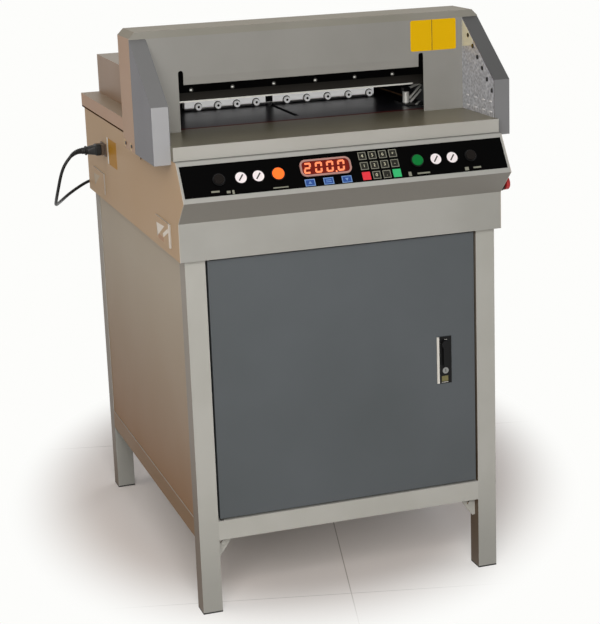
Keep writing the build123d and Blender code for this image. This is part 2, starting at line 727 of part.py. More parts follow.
# Hood: a front panel with the cutting window, a shell behind it, and a cheek on each side
wing_drop = 35.0
hood_band = 14.0
hood_chamfer = 12.0
window_left_margin = 61.0
window_right_margin = 87.0
window_left_x = window_left_margin - body_half
window_right_x = body_half - window_right_margin
window_rise = 91.0
window_slot = 10.3
window_slot_rise = 28.0
lip_crease_rise = 107.0
lip_lean = 1.2
wing_bottom_z = table_z - wing_drop
panel_top_z = hood_top_z - hood_band
window_top_z = table_z + window_rise
slot_top_z = window_top_z + window_slot_rise
crease_z = table_z + lip_crease_rise
with BuildPart() as hood_front_panel:
    slab((-body_half, body_half), (hood_y, hood_y + sheet), (table_z, panel_top_z))
    slab((window_left_x + window_slot, window_right_x - window_slot), (hood_y - over, hood_y + over),
         (table_z - over, slot_top_z), mode=Mode.SUBTRACT)
    for slot_centre_x in (window_left_x + window_slot / 2, window_right_x - window_slot / 2):
        slab((slot_centre_x - window_slot / 2, slot_centre_x + window_slot / 2),
             (hood_y - over, hood_y + over), (table_z - over, slot_top_z - window_slot / 2),
             mode=Mode.SUBTRACT)
        rod((slot_centre_x, hood_y - over, slot_top_z - window_slot / 2), (0, 1, 0), window_slot / 2,
            2 * over, mode=Mode.SUBTRACT)
    lip_outline = [
        (hood_y, slot_top_z),
        (hood_y, crease_z),
        (hood_y + lip_lean, window_top_z),
        (hood_y + lip_lean + sheet, window_top_z),
        (hood_y + sheet, crease_z),
        (hood_y + sheet, slot_top_z),
    ]
    slice_x(lip_outline, window_left_x + window_slot, window_right_x - window_slot)
hood_front_panel.part.label = "hood_front_panel"
export_step(hood_front_panel.part, "parts/hood_front_panel.step")

with BuildPart() as hood_shell:
    for inset, cut in {0.0: Mode.ADD, sheet: Mode.SUBTRACT}.items():
        half = hood_half - inset
        top = hood_top_z - inset
        slope = hood_chamfer - inset * (2 - sqrt(2))
        with BuildSketch(Plane.XZ.offset(-hood_y - inset)):
            with BuildLine():
                Polyline(
                    (-half, wing_bottom_z + inset),
                    (-half, top - slope),
                    (-half + slope, top),
                    (half - slope, top),
                    (half, top - slope),
                    (half, wing_bottom_z + inset),
                    close=True,
                )
            make_face()
        extrude(amount=-(hood_depth - 2 * inset), mode=cut)
    slab((-hood_half - over, hood_half + over), (hood_y - over, hood_y + sheet), (wing_bottom_z - over, panel_top_z),
         mode=Mode.SUBTRACT)
    slab((-body_half - gap, body_half + gap), (hood_y - over, hood_rear_y - sheet),
         (wing_bottom_z - over, table_z), mode=Mode.SUBTRACT)
    slab((-lid_half - gap, lid_half + gap), (hood_rear_y - 2 * sheet, hood_rear_y + over),
         (wing_bottom_z - over, lid_top_z + gap), mode=Mode.SUBTRACT)
    slab((-cover_half + sheet, cover_half - sheet), (hood_rear_y - over, hood_rear_y + over),
         (table_z - over, cover_top_z - sheet), mode=Mode.SUBTRACT)
hood_shell.part.label = "hood_shell"
export_step(hood_shell.part, "parts/hood_shell.step")

cheek_setback = 78.0
knee_rise = 74.0
liner_sheet = 1.2
cheek_y = front_y + cheek_setback
knee_z = table_z + knee_rise
cheek_angle = atan2(panel_top_z - knee_z, hood_y - cheek_y)
cheek_outline = [
    (hood_y, panel_top_z),
    (hood_y, wing_bottom_z),
    (cheek_y, wing_bottom_z),
    (cheek_y, knee_z),
]
cheek_inner_drop = sheet / cos(cheek_angle)
cheek_hollow = [
    (hood_y + over, panel_top_z - cheek_inner_drop + over * sin(cheek_angle) / cos(cheek_angle)),
    (hood_y + over, wing_bottom_z + sheet),
    (cheek_y + sheet, wing_bottom_z + sheet),
    (cheek_y + sheet, knee_z - cheek_inner_drop + sheet * sin(cheek_angle) / cos(cheek_angle)),
]
for side, direction in {"left": -1, "right": 1}.items():
    cheek_name = f"cheek_{side}"
    with BuildPart() as cheek:
        slice_x(cheek_outline, direction * body_half, direction * hood_half)
        slice_x(cheek_hollow, direction * (body_half - over), direction * (hood_half - sheet), mode=Mode.SUBTRACT)
    cheek.part.label = cheek_name
    export_step(cheek.part, f"parts/{cheek_name}.step")

# Inner linings of the cheeks, with a row of light-curtain lenses along the slope
lens_count = 6
lens_first_shares = (0.203, 0.306)
lens_step_shares = (0.149, 0.1775)
lens_r = 4.5
lens_proud = 1.2
louvre_rows = (29.0, 9.0)
louvre_shares = (0.029, 0.248, 0.503, 0.765)
louvre_length = 14.0
louvre_height = 3.0
louvre_proud = 1.0
with BuildPart() as cheek_liners:
    for direction in (-1, 1):
        liner_outline = [
            (hood_y, panel_top_z - cheek_inner_drop),
            (hood_y, table_z),
            (cheek_y, table_z),
            (cheek_y, knee_z - cheek_inner_drop),
        ]
        slice_x(liner_outline, direction * (body_half - liner_sheet), direction * body_half)
        for louvre_rise in louvre_rows:
            for louvre_share in louvre_shares:
                louvre_y = cheek_y + louvre_share * (hood_y - cheek_y)
                slab((direction * (body_half - liner_sheet), direction * (body_half - liner_sheet - louvre_proud)),
                     (louvre_y, louvre_y + louvre_length),
                     (table_z + louvre_rise, table_z + louvre_rise + louvre_height))
cheek_liners.part.label = "cheek_liners"
export_step(cheek_liners.part, "parts/cheek_liners.step")

with BuildPart() as sensor_lenses:
    for direction in (-1, 1):
        for lens in range(lens_count):
            run_share, drop_share = (first + lens * step
                                     for first, step in zip(lens_first_shares, lens_step_shares))
            lens_at = (direction * (body_half - liner_sheet), hood_y - run_share * (hood_y - cheek_y),
                       panel_top_z - drop_share * (panel_top_z - knee_z))
            rod(lens_at, (-direction, 0, 0), lens_r, lens_proud)
sensor_lenses.part.label = "sensor_lenses"
export_step(sensor_lenses.part, "parts/sensor_lenses.step")

# Knife unit: two guide frames joined by a beam, and a guard in front
guard_bottom_rise = 75.5
guard_height = 41.5
frame_inward = 30.0
frame_outward = 28.0
frame_inner = body_half - frame_inward
frame_outer = body_half + frame_outward
channel_wall = 5.0
channel_side_wall = 2.0
channel_spare = 4.3
channel_outer = frame_outer - channel_side_wall
slide_clear = 0.25
carriage_thickness = 16.0
channel_depth = carriage_thickness + 2 * slide_clear
beam_margin = 4.0
beam_half = frame_outer - beam_margin
beam_front = 25.0
beam_rear = 3.5
beam_thickness = 6.0
guard_y = hood_y + guard_setback
frame_y = guard_y + guard_thickness
frame_rear_y = frame_y + frame_depth
channel_y = frame_y + channel_wall
guard_bottom_z = table_z + guard_bottom_rise
beam_top_z = panel_top_z + beam_thickness
knife_drop = 75.7
knife_shift = 40.0
carriage_top_drop = 2.0
carriage_height = 46.0
carriage_top_z = panel_top_z - carriage_top_drop
carriage_bottom_z = carriage_top_z - carriage_height
channel_bottom_z = carriage_bottom_z - knife_drop - channel_spare

# Drive screws of the knife and the clamp, standing side by side behind the blade
drive_screw_r = 7.0
drive_pulley_r = 15.0
drive_pulley = 5.5
knife_screw_inset = 150.0
knife_screw_setback = 59.0
clamp_screw_x = -14.0
clamp_screw_setback = 54.0
motor_r = 20.0
motor_clear = 16.0
motor_setback = 64.0
motor_shaft_r = 4.0
motor_pulley_r = 12.0
knife_belt_span = 72.0
clamp_belt_span = 76.0
belt_thickness = 1.5
belt_width = 3.5
knife_screw_x = frame_inner - knife_screw_inset
knife_screw_y = hood_y + knife_screw_setback
clamp_screw_y = hood_y + clamp_screw_setback
motor_y = hood_y + motor_setback
knife_motor_x = knife_screw_x + knife_belt_span
clamp_motor_x = clamp_screw_x - clamp_belt_span
pulley_z = beam_top_z + gap
belt_z = pulley_z + (drive_pulley - belt_width) / 2

with BuildPart() as knife_frames:
    for direction in (-1, 1):
        slab((direction * frame_inner, direction * frame_outer), (frame_y, frame_rear_y), (table_z, panel_top_z))
        slab((direction * (frame_inner - over), direction * channel_outer), (channel_y, channel_y + channel_depth),
             (channel_bottom_z, panel_top_z + over), mode=Mode.SUBTRACT)
knife_frames.part.label = "knife_frames"
export_step(knife_frames.part, "parts/knife_frames.step")

with BuildPart() as top_beam:
    slab((-beam_half, beam_half), (hood_y + beam_front, hood_rear_y - beam_rear), (panel_top_z, beam_top_z))
    for hole_x, hole_y, hole_r in ((knife_screw_x, knife_screw_y, drive_screw_r),
                                   (clamp_screw_x, clamp_screw_y, drive_screw_r),
                                   (knife_motor_x, motor_y, motor_shaft_r),
                                   (clamp_motor_x, motor_y, motor_shaft_r)):
        rod((hole_x, hole_y, panel_top_z - over), (0, 0, 1), hole_r + running, 2 * over + over,
            mode=Mode.SUBTRACT)
top_beam.part.label = "top_beam"
export_step(top_beam.part, "parts/top_beam.step")

with BuildPart() as knife_guard:
    slab((-body_half + liner_sheet + gap, body_half - liner_sheet - gap), (guard_y, frame_y),
         (guard_bottom_z, guard_bottom_z + guard_height))
knife_guard.part.label = "knife_guard"
export_step(knife_guard.part, "parts/knife_guard.step")

guard_screw_r = 4.0
guard_screw_head = 2.0
guard_screw_rise = 5.0
guard_screw_shares = (0.049, 0.213, 0.379, 0.548, 0.711, 0.869)
wing_screw_r = 3.5
wing_screw_head = 1.5
wing_screw_rise = 10.5
wing_screw_setbacks = (29.0, 79.0)
with BuildPart() as panel_screws:
    for screw_share in guard_screw_shares:
        screw_x = window_left_x + screw_share * (window_right_x - window_left_x)
        rod((screw_x, guard_y, guard_bottom_z + guard_screw_rise), (0, -1, 0), guard_screw_r, guard_screw_head)
    for direction in (-1, 1):
        for setback in wing_screw_setbacks:
            rod((direction * hood_half, hood_y + setback, wing_bottom_z + wing_screw_rise),
                (direction, 0, 0), wing_screw_r, wing_screw_head)
panel_screws.part.label = "panel_screws"
export_step(panel_screws.part, "parts/panel_screws.step")

# Knife: carriage and blade slide down and to the right together
cut_clear = 0.8
carriage_end_clear = 4.0
blade_left_margin = 5.0
blade_right_margin = 35.0
blade_seat = 25.0
carriage_left_x = carriage_end_clear - channel_outer
carriage_right_x = channel_outer - carriage_end_clear - knife_shift
blade_left_x = blade_left_margin - frame_inner
blade_right_x = frame_inner - blade_right_margin - knife_shift
blade_thickness = 8.0
blade_bevel = 20.0
nut_half = 16.0
nut_height = 18.0
nut_depth = 30.0
nut_top_drop = 4.0
tongue_half = 8.0
tongue_height = 10.0
carriage_y = channel_y + slide_clear
blade_y = carriage_y + carriage_thickness
blade_bottom_z = table_z + knife_drop + cut_clear
blade_top_z = carriage_bottom_z + blade_seat
nut_z = panel_top_z - nut_top_drop - nut_height / 2
nut_front_y = knife_screw_y - nut_depth / 2
with BuildPart() as knife_carriage:
    slab((carriage_left_x, carriage_right_x), (carriage_y, blade_y),
         (carriage_bottom_z, carriage_top_z))
    slab((knife_screw_x - tongue_half - knife_shift - gap, knife_screw_x + tongue_half + gap),
         (carriage_y - over, blade_y + over),
         (nut_z - tongue_height / 2 - gap, nut_z + tongue_height / 2 + gap), mode=Mode.SUBTRACT)
knife_carriage.part.label = "knife_carriage"
export_step(knife_carriage.part, "parts/knife_carriage.step")

with BuildPart() as knife_blade:
    blade_outline = [
        (blade_y + blade_thickness, blade_bottom_z),
        (blade_y + blade_thickness, blade_top_z),
        (blade_y, blade_top_z),
        (blade_y, blade_bottom_z + blade_bevel),
    ]
    slice_x(blade_outline, blade_left_x, blade_right_x)
knife_blade.part.label = "knife_blade"
export_step(knife_blade.part, "parts/knife_blade.step")

with BuildPart() as knife_nut:
    slab((knife_screw_x - nut_half, knife_screw_x + nut_half), (nut_front_y, nut_front_y + nut_depth),
         (nut_z - nut_height / 2, nut_z + nut_height / 2))
    slab((knife_screw_x - tongue_half, knife_screw_x + tongue_half), (carriage_y, nut_front_y),
         (nut_z - tongue_height / 2, nut_z + tongue_height / 2))
    rod((knife_screw_x, knife_screw_y, nut_z - nut_height), (0, 0, 1), drive_screw_r + running,
        2 * nut_height, mode=Mode.SUBTRACT)
knife_nut.part.label = "knife_nut"
export_step(knife_nut.part, "parts/knife_nut.step")

# Clamp: a bar across the table with a threaded boss
clamp_side_clear = 0.5
clamp_half = frame_inner - clamp_side_clear
clamp_height = 33.5
clamp_drop = 50.0
clamp_opening = clamp_drop + table_clear
boss_r = 16.5
boss_height = 34.0
bore_floor = 4.5
screw_end = 2.0
clamp_y = hood_y + clamp_setback
clamp_bottom_z = table_z + clamp_opening
clamp_top_z = clamp_bottom_z + clamp_height
clamp_bore_z = clamp_bottom_z + bore_floor
knife_screw_bottom_z = clamp_top_z + 2 * table_clear
with BuildPart() as clamp_bar:
    slab((-clamp_half, clamp_half), (clamp_y, clamp_y + clamp_depth), (clamp_bottom_z, clamp_top_z))
    rod((clamp_screw_x, clamp_screw_y, clamp_top_z), (0, 0, 1), boss_r, boss_height)
    rod((clamp_screw_x, clamp_screw_y, clamp_bore_z), (0, 0, 1), drive_screw_r + running,
        clamp_height + boss_height + over, mode=Mode.SUBTRACT)
clamp_bar.part.label = "clamp_bar"
export_step(clamp_bar.part, "parts/clamp_bar.step")

drive_screws = {
    "knife_screw": (knife_screw_x, knife_screw_y, knife_screw_bottom_z),
    "clamp_screw": (clamp_screw_x, clamp_screw_y, clamp_bore_z + screw_end),
}
for screw_name, foot in drive_screws.items():
    with BuildPart() as drive_screw:
        rod(foot, (0, 0, 1), drive_screw_r, pulley_z - foot[-1])
        rod((foot[0], foot[1], pulley_z), (0, 0, 1), drive_pulley_r, drive_pulley)
    drive_screw.part.label = screw_name
    export_step(drive_screw.part, f"parts/{screw_name}.step")

# Gear motors: knife and clamp drives under the beam, gauge drive under the table
motor_foot_half = 10.0
motor_foot_length = 50.0
gauge_screw_front_y = front_bearing_y - bearing_length
gauge_screw_rear_y = rear_bearing_y + bearing_length + coupling_gap
gauge_motor_y = gauge_screw_rear_y + coupling_gap
with BuildPart() as gear_motors:
    for motor_x in (knife_motor_x, clamp_motor_x):
        rod((motor_x, motor_y, panel_top_z), (0, 0, -1), motor_r, panel_top_z - clamp_top_z - motor_clear)
        rod((motor_x, motor_y, panel_top_z), (0, 0, 1), motor_shaft_r, pulley_z - panel_top_z)
        rod((motor_x, motor_y, pulley_z), (0, 0, 1), motor_pulley_r, drive_pulley)
    rod((slot_x, gauge_motor_y, gauge_screw_z), (0, 1, 0), gauge_motor_r, gauge_motor_length)
    slab((slot_x - motor_foot_half, slot_x + motor_foot_half),
         (gauge_motor_y + motor_foot_half, gauge_motor_y + motor_foot_half + motor_foot_length),
         (gauge_screw_z, side_top_z))
gear_motors.part.label = "gear_motors"
export_step(gear_motors.part, "parts/gear_motors.step")

belt_runs = (
    ((knife_screw_x, knife_screw_y), (knife_motor_x, motor_y)),
    ((clamp_screw_x, clamp_screw_y), (clamp_motor_x, motor_y)),
)
with BuildPart() as drive_belts:
    for (screw_x, screw_y), (pulley_x, pulley_y) in belt_runs:
        for inset, cut in {belt_thickness: Mode.ADD, 0.0: Mode.SUBTRACT}.items():
            with BuildSketch(Plane.XY.offset(belt_z)):
                with Locations((screw_x, screw_y)):
                    Circle(drive_pulley_r + gap + inset)
                with Locations((pulley_x, pulley_y)):
                    Circle(motor_pulley_r + running + inset)
                make_hull()
            extrude(amount=belt_width, mode=cut)
drive_belts.part.label = "drive_belts"
export_step(drive_belts.part, "parts/drive_belts.step")

with BuildPart() as back_gauge:
    gauge_zs = (table_z + table_clear, table_z + table_clear + gauge_height)
    slab((gauge_left_x, gauge_right_x), (gauge_beam_y, gauge_rear_y), gauge_zs)
    slab((gauge_left_x, finger_gap_left_x), (gauge_y, gauge_beam_y), gauge_zs)
    slab((finger_gap_right_x, gauge_right_x), (gauge_y, gauge_beam_y), gauge_zs)
    slab((slot_x - tongue_width / 2, slot_x + tongue_width / 2), (gauge_beam_y, gauge_rear_y),
         (gauge_screw_z, table_z + 2 * table_clear))
    slab((slot_x - gauge_nut_width / 2, slot_x + gauge_nut_width / 2),
         (nut_y - gauge_nut_length / 2, nut_y + gauge_nut_length / 2),
         (gauge_screw_z - gauge_nut_height / 2, gauge_screw_z + gauge_nut_height / 2))
    rod((slot_x, nut_y - gauge_nut_length, gauge_screw_z), (0, 1, 0), gauge_screw_r + running,
        2 * gauge_nut_length, mode=Mode.SUBTRACT)
    for knuckle_x in knuckle_xs:
        rod((knuckle_x, gauge_y, knuckle_z), (0, -1, 0), knuckle_r, knuckle_thickness)
        rod((knuckle_x, gauge_y, knuckle_z), (0, -1, 0), knuckle_hole_r, over, mode=Mode.SUBTRACT)
back_gauge.part.label = "back_gauge"
export_step(back_gauge.part, "parts/back_gauge.step")

with BuildPart() as gauge_screw:
    rod((slot_x, gauge_screw_front_y, gauge_screw_z), (0, 1, 0), gauge_screw_r,
        gauge_screw_rear_y - gauge_screw_front_y)
gauge_screw.part.label = "gauge_screw"
export_step(gauge_screw.part, "parts/gauge_screw.step")

# Side guide: a base plate with a fence, a clamping knob and its link
guide_gap = 7.5
guide_width = 47.0
guide_left_x = gauge_right_x + guide_gap
guide_right_x = guide_left_x + guide_width
guide_setback = 74.5
guide_length = 79.0
guide_plate = 3.0
guide_fence = 45.0
knob_inset = 10.5
knob_x = guide_left_x + knob_inset
knob_setback = 115.0
knob_r = 7.0
knob_height = 24.0
knob_block = 13.0
knob_block_height = 7.0
link_r = 2.5
guide_y = hood_y + guide_setback
knob_y = hood_y + knob_setback
knob_top_z = table_z + guide_plate + knob_height
link_rise = guide_fence - guide_plate - knob_height
link_span = guide_right_x - guide_plate - knob_x
with BuildPart() as side_guide:
    slab((guide_left_x, guide_right_x), (guide_y, guide_y + guide_length), (table_z, table_z + guide_plate))
    slab((guide_right_x - guide_plate, guide_right_x), (guide_y, guide_y + guide_length),
         (table_z, table_z + guide_fence))
    rod((knob_x, knob_y, table_z + guide_plate), (0, 0, 1), knob_r, knob_height)
    slab((knob_x - knob_block / 2, knob_x + knob_block / 2), (knob_y - knob_block / 2, knob_y + knob_block / 2),
         (knob_top_z, knob_top_z + knob_block_height))
    rod((knob_x, knob_y, knob_top_z + knob_block_height / 2), (link_span, 0, link_rise - knob_block_height),
        link_r, hypot(link_span, link_rise - knob_block_height))
side_guide.part.label = "side_guide"
export_step(side_guide.part, "parts/side_guide.step")

with BuildPart() as power_inlet:
    slab((-body_half, -body_half - inlet_flange_thickness), (inlet_y - inlet_flange / 2, inlet_y + inlet_flange / 2),
         (inlet_z - inlet_flange_height / 2, inlet_z + inlet_flange_height / 2))
    slab((-body_half + inlet_inside, -body_half - inlet_proud), (inlet_y - inlet_width / 2, inlet_y + inlet_width / 2),
         (inlet_z - inlet_height / 2, inlet_z + inlet_height / 2))
    slab((-body_half - inlet_proud - over, -body_half - inlet_proud + socket_depth),
         (inlet_y - inlet_width / 2 + socket_wall, inlet_y + inlet_width / 2 - socket_wall),
         (inlet_z - inlet_height / 2 + socket_wall, inlet_z + inlet_height / 2 - socket_wall),
         mode=Mode.SUBTRACT)
power_inlet.part.label = "power_inlet"
export_step(power_inlet.part, "parts/power_inlet.step")

# Mains lead: connector with a curved boot, free stretch, put-away coil, plug
connector_length = 34.0
connector_width = 27.0
connector_height = 20.0
connector_nose = 20.0
connector_nose_clear = 0.3
boot_straight = 8.0
boot_bend_r = 34.0
boot_bend = 45.0
boot_r_start = 6.5
boot_r_end = 4.4
boot_sections = 4
connector_x = -body_half - inlet_proud
boot_x = connector_x - connector_length - boot_straight
boot_end_x = boot_x - boot_bend_r * sin(radians(boot_bend))
boot_end_z = inlet_z - boot_bend_r * (1 - cos(radians(boot_bend)))
with BuildPart() as cord_connector:
    slab((connector_x, connector_x - connector_length),
         (inlet_y - connector_width / 2, inlet_y + connector_width / 2),
         (inlet_z - connector_height / 2, inlet_z + connector_height / 2))
    slab((connector_x, connector_x + connector_nose),
         (inlet_y - inlet_width / 2 + socket_wall + connector_nose_clear,
          inlet_y + inlet_width / 2 - socket_wall - connector_nose_clear),
         (inlet_z - inlet_height / 2 + socket_wall + connector_nose_clear,
          inlet_z + inlet_height / 2 - socket_wall - connector_nose_clear))
    rod((connector_x - connector_length, inlet_y, inlet_z), (-1, 0, 0), boot_r_start, boot_straight)
    for step in range(boot_sections):
        share = step / (boot_sections - 1)
        turned = radians(boot_bend * share)
        section_plane = Plane(
            origin=(boot_x - boot_bend_r * sin(turned), inlet_y, inlet_z - boot_bend_r * (1 - cos(turned))),
            z_dir=(-cos(turned), 0, -sin(turned)),
            x_dir=(0, 1, 0),
        )
        with BuildSketch(section_plane):
            Circle(boot_r_start + (boot_r_end - boot_r_start) * share)
    loft(ruled=True)
cord_connector.part.label = "cord_connector"
export_step(cord_connector.part, "parts/cord_connector.step")

first_run = 12.0
cord_route = [
    (boot_end_x, inlet_y, boot_end_z),
    (boot_end_x - first_run, inlet_y, boot_end_z - first_run),
    (-428.0, 241.0, 801.0),
    (-434.5, 253.0, 767.0),
    (-436.0, 285.0, 733.0),
    (-430.0, 334.0, 711.0),
    (-411.0, 384.0, 708.0),
    (-376.0, 426.0, 721.0),
    (-321.0, 444.5, 745.0),
    (-263.0, 444.5, 745.0),
    (-222.0, 445.5, 728.0),
    (-200.0, 447.0, 690.0),
    (-197.0, 447.5, 632.0),
    (-203.0, 448.0, 550.0),
    (-212.0, 448.0, 455.0),
    (-217.0, 448.0, 355.0),
    (-216.0, 448.0, 255.0),
    (-211.0, 447.5, 165.0),
    (-204.0, 447.0, 95.0),
    (-190.0, 447.0, 45.0),
    (-165.0, 447.0, 13.5),
    (-125.0, 447.0, 3.5),
    (-92.0, 447.0, 3.5),
]
arc_share = 0.45
runs = [Vector(*end) - Vector(*start) for start, end in zip(cord_route, cord_route[1:])]
turns = [before.get_angle(after) for before, after in zip(runs, runs[1:])]
bend_radii = [arc_share * min(before.length, after.length) / abs(sin(radians(turn / 2)) / cos(radians(turn / 2)))
              for before, after, turn in zip(runs, runs[1:], turns)]
print("cord bend radii", [round(radius) for radius in bend_radii])
with BuildPart() as cord_lead:
    with BuildLine() as lead_line:
        FilletPolyline(*cord_route, radius=bend_radii)
    with BuildSketch(Plane(origin=cord_route[0], z_dir=runs[0])):
        Circle(cord_r)
    sweep(path=lead_line.wire())
cord_lead.part.label = "cord_lead"
export_step(cord_lead.part, "parts/cord_lead.step")
lead_length = lead_line.wire().length
print("cord lead length", round(lead_length, 1), "volume ratio",
      round(cord_lead.part.volume / (pi * cord_r**2 * lead_length), 4))

# Coil: two layers of turns, winding in on the floor and out again on top
turn_pitch = 7.5
layer_rise = 7.8
coil_outer = 47.5
layer_half_turns = 4
cord_tail = 2 * cord_r
coil_start = cord_route[-1]
coil_x = coil_start[0] + cord_tail
coil_y = coil_start[1] + coil_outer
coil_top_z = coil_start[2] + layer_rise
half_step = turn_pitch / 2


def on_coil(across, along, height):
    """A point of the coil: across points to the cabinet, along follows the lead's way in."""
    return (coil_x + along, coil_y - across, height)


def half_turn(start_reach, end_reach, side, height):
    """A flat half circle of the coil, from one side of it to the other."""
    middle = side * (start_reach - end_reach) / 2
    bulge = side * (start_reach + end_reach) / 2
    ThreePointArc(on_coil(side * start_reach, 0, height), on_coil(middle, bulge, height),
                  on_coil(-side * end_reach, 0, height))


with BuildPart() as cord_coil:
    with BuildLine() as coil_line:
        Line(coil_start, on_coil(coil_outer, 0, coil_start[2]))
        for turn in range(layer_half_turns):
            reach = coil_outer - turn * half_step
            half_turn(reach, reach - half_step, 1 - 2 * (turn % 2), coil_start[2])
        climb_reach = coil_outer - layer_half_turns * half_step
        climb_radius = climb_reach - half_step / 2
        crest = on_coil(half_step / 2, hypot(climb_radius, layer_rise / 2), coil_start[2] + layer_rise / 2)
        inner_end = on_coil(half_step - climb_reach, 0, coil_top_z)
        TangentArc(on_coil(climb_reach, 0, coil_start[2]), crest, tangent=(1, 0, 0))
        TangentArc(crest, inner_end, tangent=(1, 0, 0), tangent_from_first=False)
        half_turn(climb_reach - half_step, coil_outer - 2 * half_step, -1, coil_top_z)
        half_turn(coil_outer - 2 * half_step, coil_outer - half_step, 1, coil_top_z)
        half_turn(coil_outer - half_step, coil_outer, -1, coil_top_z)
        Line(on_coil(coil_outer, 0, coil_top_z), on_coil(coil_outer, cord_tail, coil_top_z))
    with BuildSketch(Plane(origin=coil_start, z_dir=(1, 0, 0))):
        Circle(cord_r)
    coil_path = coil_line.wire()
    sweep(path=coil_path)
cord_coil.part.label = "cord_coil"
export_step(cord_coil.part, "parts/cord_coil.step")
coil_length = coil_path.length
samples = 600
spacing = coil_length / samples
coil_points = [coil_path @ (index / samples) for index in range(samples + 1)]
apart = int(pi * coil_outer / 2 / spacing)
least_gap = min((coil_points[i] - coil_points[j]).length for i in range(samples + 1)
                for j in range(i + apart, samples + 1)) - 2 * cord_r
print("coil length", round(coil_length, 1), "least gap", round(least_gap, 2))

relief_length = 30.0
relief_r_start = 3.9
relief_r_end = 6.0
plug_length = 40.0
plug_width = 26.0
plug_edge = 5.0
pin_r = 2.4
pin_length = 19.0
pin_spread = 19.0
plug_x = coil_x + cord_tail
plug_y = coil_y - coil_outer
with BuildPart() as mains_plug:
    with BuildSketch(Plane(origin=(plug_x, plug_y, coil_top_z), z_dir=(1, 0, 0))):
        Circle(relief_r_start)
    with BuildSketch(Plane(origin=(plug_x + relief_length, plug_y, coil_top_z), z_dir=(1, 0, 0))):
        Circle(relief_r_end)
    loft()
    with BuildSketch(Plane(origin=(plug_x + relief_length, plug_y, coil_top_z), z_dir=(1, 0, 0), x_dir=(0, 1, 0))):
        RectangleRounded(plug_width, 2 * coil_top_z, plug_edge)
    extrude(amount=plug_length)
    for pin_side in (-1, 1):
        rod((plug_x + relief_length + plug_length, plug_y + pin_side * pin_spread / 2, coil_top_z),
            (1, 0, 0), pin_r, pin_length)
mains_plug.part.label = "mains_plug"
export_step(mains_plug.part, "parts/mains_plug.step")
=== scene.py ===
"""Looks of a free-standing electric paper cutter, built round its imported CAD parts.

Lengths are written in millimetres and turned to metres where a mesh is made. The operator
stands at the front (-Y). Places on the sloping control face are given across it, up it and
out of it.
"""

from math import cos, hypot, pi, radians, sin

import bmesh
import bpy
from mathutils import Matrix, Vector


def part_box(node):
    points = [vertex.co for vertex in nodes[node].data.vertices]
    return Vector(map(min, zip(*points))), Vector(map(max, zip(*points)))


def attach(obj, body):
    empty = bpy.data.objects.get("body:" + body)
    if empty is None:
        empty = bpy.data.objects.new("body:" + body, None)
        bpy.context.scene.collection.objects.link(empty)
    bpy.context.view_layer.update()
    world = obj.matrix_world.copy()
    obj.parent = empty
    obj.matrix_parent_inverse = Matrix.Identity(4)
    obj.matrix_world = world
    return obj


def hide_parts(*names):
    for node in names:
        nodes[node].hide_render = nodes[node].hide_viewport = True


MM = 0.001

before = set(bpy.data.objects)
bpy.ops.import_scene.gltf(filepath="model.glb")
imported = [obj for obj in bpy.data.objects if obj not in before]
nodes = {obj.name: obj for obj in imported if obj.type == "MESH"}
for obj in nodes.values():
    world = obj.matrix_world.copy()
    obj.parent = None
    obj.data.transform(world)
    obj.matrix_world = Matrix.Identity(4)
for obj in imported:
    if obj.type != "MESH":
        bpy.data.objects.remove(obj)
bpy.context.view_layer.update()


def node_box(name):
    """Lowest and highest corner of a CAD part, in millimetres."""
    floor_shade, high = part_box(name)
    return Vector(floor_shade) / MM, Vector(high) / MM


# Main planes, read from the frame
console_low, console_high = node_box("console_housing")
body_left = node_box("body_side_left")[0].x
front_y = console_low.y
table_z = node_box("table_apron")[1].z
door_y = node_box("door_panel")[0].y
hood_y = node_box("hood_shell")[0].y
clamp_low = node_box("clamp_bar")[0]
knuckle_y = node_box("back_gauge")[0].y
LINER_SHEET = 1.2
liner_face = body_left + LINER_SHEET

# Sloping control face
FASCIA_RUN = 46.0
FASCIA_RISE = 69.5
FASCIA_SUNK = 0.5
fascia_bottom_z = console_high.z - FASCIA_RISE
fascia_length = hypot(FASCIA_RUN, FASCIA_RISE)
up_slope = Vector((0, FASCIA_RUN, FASCIA_RISE)) / fascia_length
out_of_slope = Vector((0, -FASCIA_RISE, FASCIA_RUN)) / fascia_length


def on_fascia(across, up, out):
    """A point of the control face in metres."""
    edge = Vector((across, front_y, fascia_bottom_z))
    return (edge + up_slope * up + out_of_slope * (out - FASCIA_SUNK)) * MM


def on_front(face_y):
    """Gives the points of a face that looks to the front: across is x, up is z."""
    return lambda across, up, out: Vector((across, face_y - out, up)) * MM


def on_flank(face_x):
    """Gives the points of a face that looks to the left: across is y, up is z."""
    return lambda across, up, out: Vector((face_x - out, across, up)) * MM


def on_top(face_z):
    """Gives the points of a face that looks up: across is x, up is y."""
    return lambda across, up, out: Vector((across, up, face_z + out)) * MM


on_door = on_front(door_y)
on_hood = on_front(hood_y)
on_clamp = on_front(clamp_low.y)
on_gauge = on_front(knuckle_y)
on_left_side = on_flank(body_left)
on_right_liner = on_flank(-liner_face)

# Materials: the heights where the painted shade by the floor begins and ends, on the sides and on all faces,
# and how squarely a face must look along an axis to count as a side, a top, an underside or an inner wall
SIDE_SHADE_TOP = 640.0
SIDE_SHADE_BOTTOM = 180.0
FLOOR_SHADE_TOP = 220.0
FLOOR_SHADE_BOTTOM = 60.0
FACES_SIDEWAYS = 0.7
FACES_UP = 0.6
FACES_DOWN = -0.2
FACES_INWARD = -0.05
CLOUD_FROM = 0.35
CLOUD_TO = 0.7
GRAIN_DEPTH = 0.1
LINE_DEPTH = 0.05
LINE_STRETCH = 60
DIMPLE_DEPTH = 0.6


def linear(hex_colour):
    """An sRGB hex colour as the linear colour that Blender works in."""
    parts = [int(hex_colour[i:i + 2], 16) / 255 for i in (1, 3, 5)]
    return tuple(c / 12.92 if c <= 0.04045 else ((c + 0.055) / 1.055) ** 2.4 for c in parts) + (1.0,)


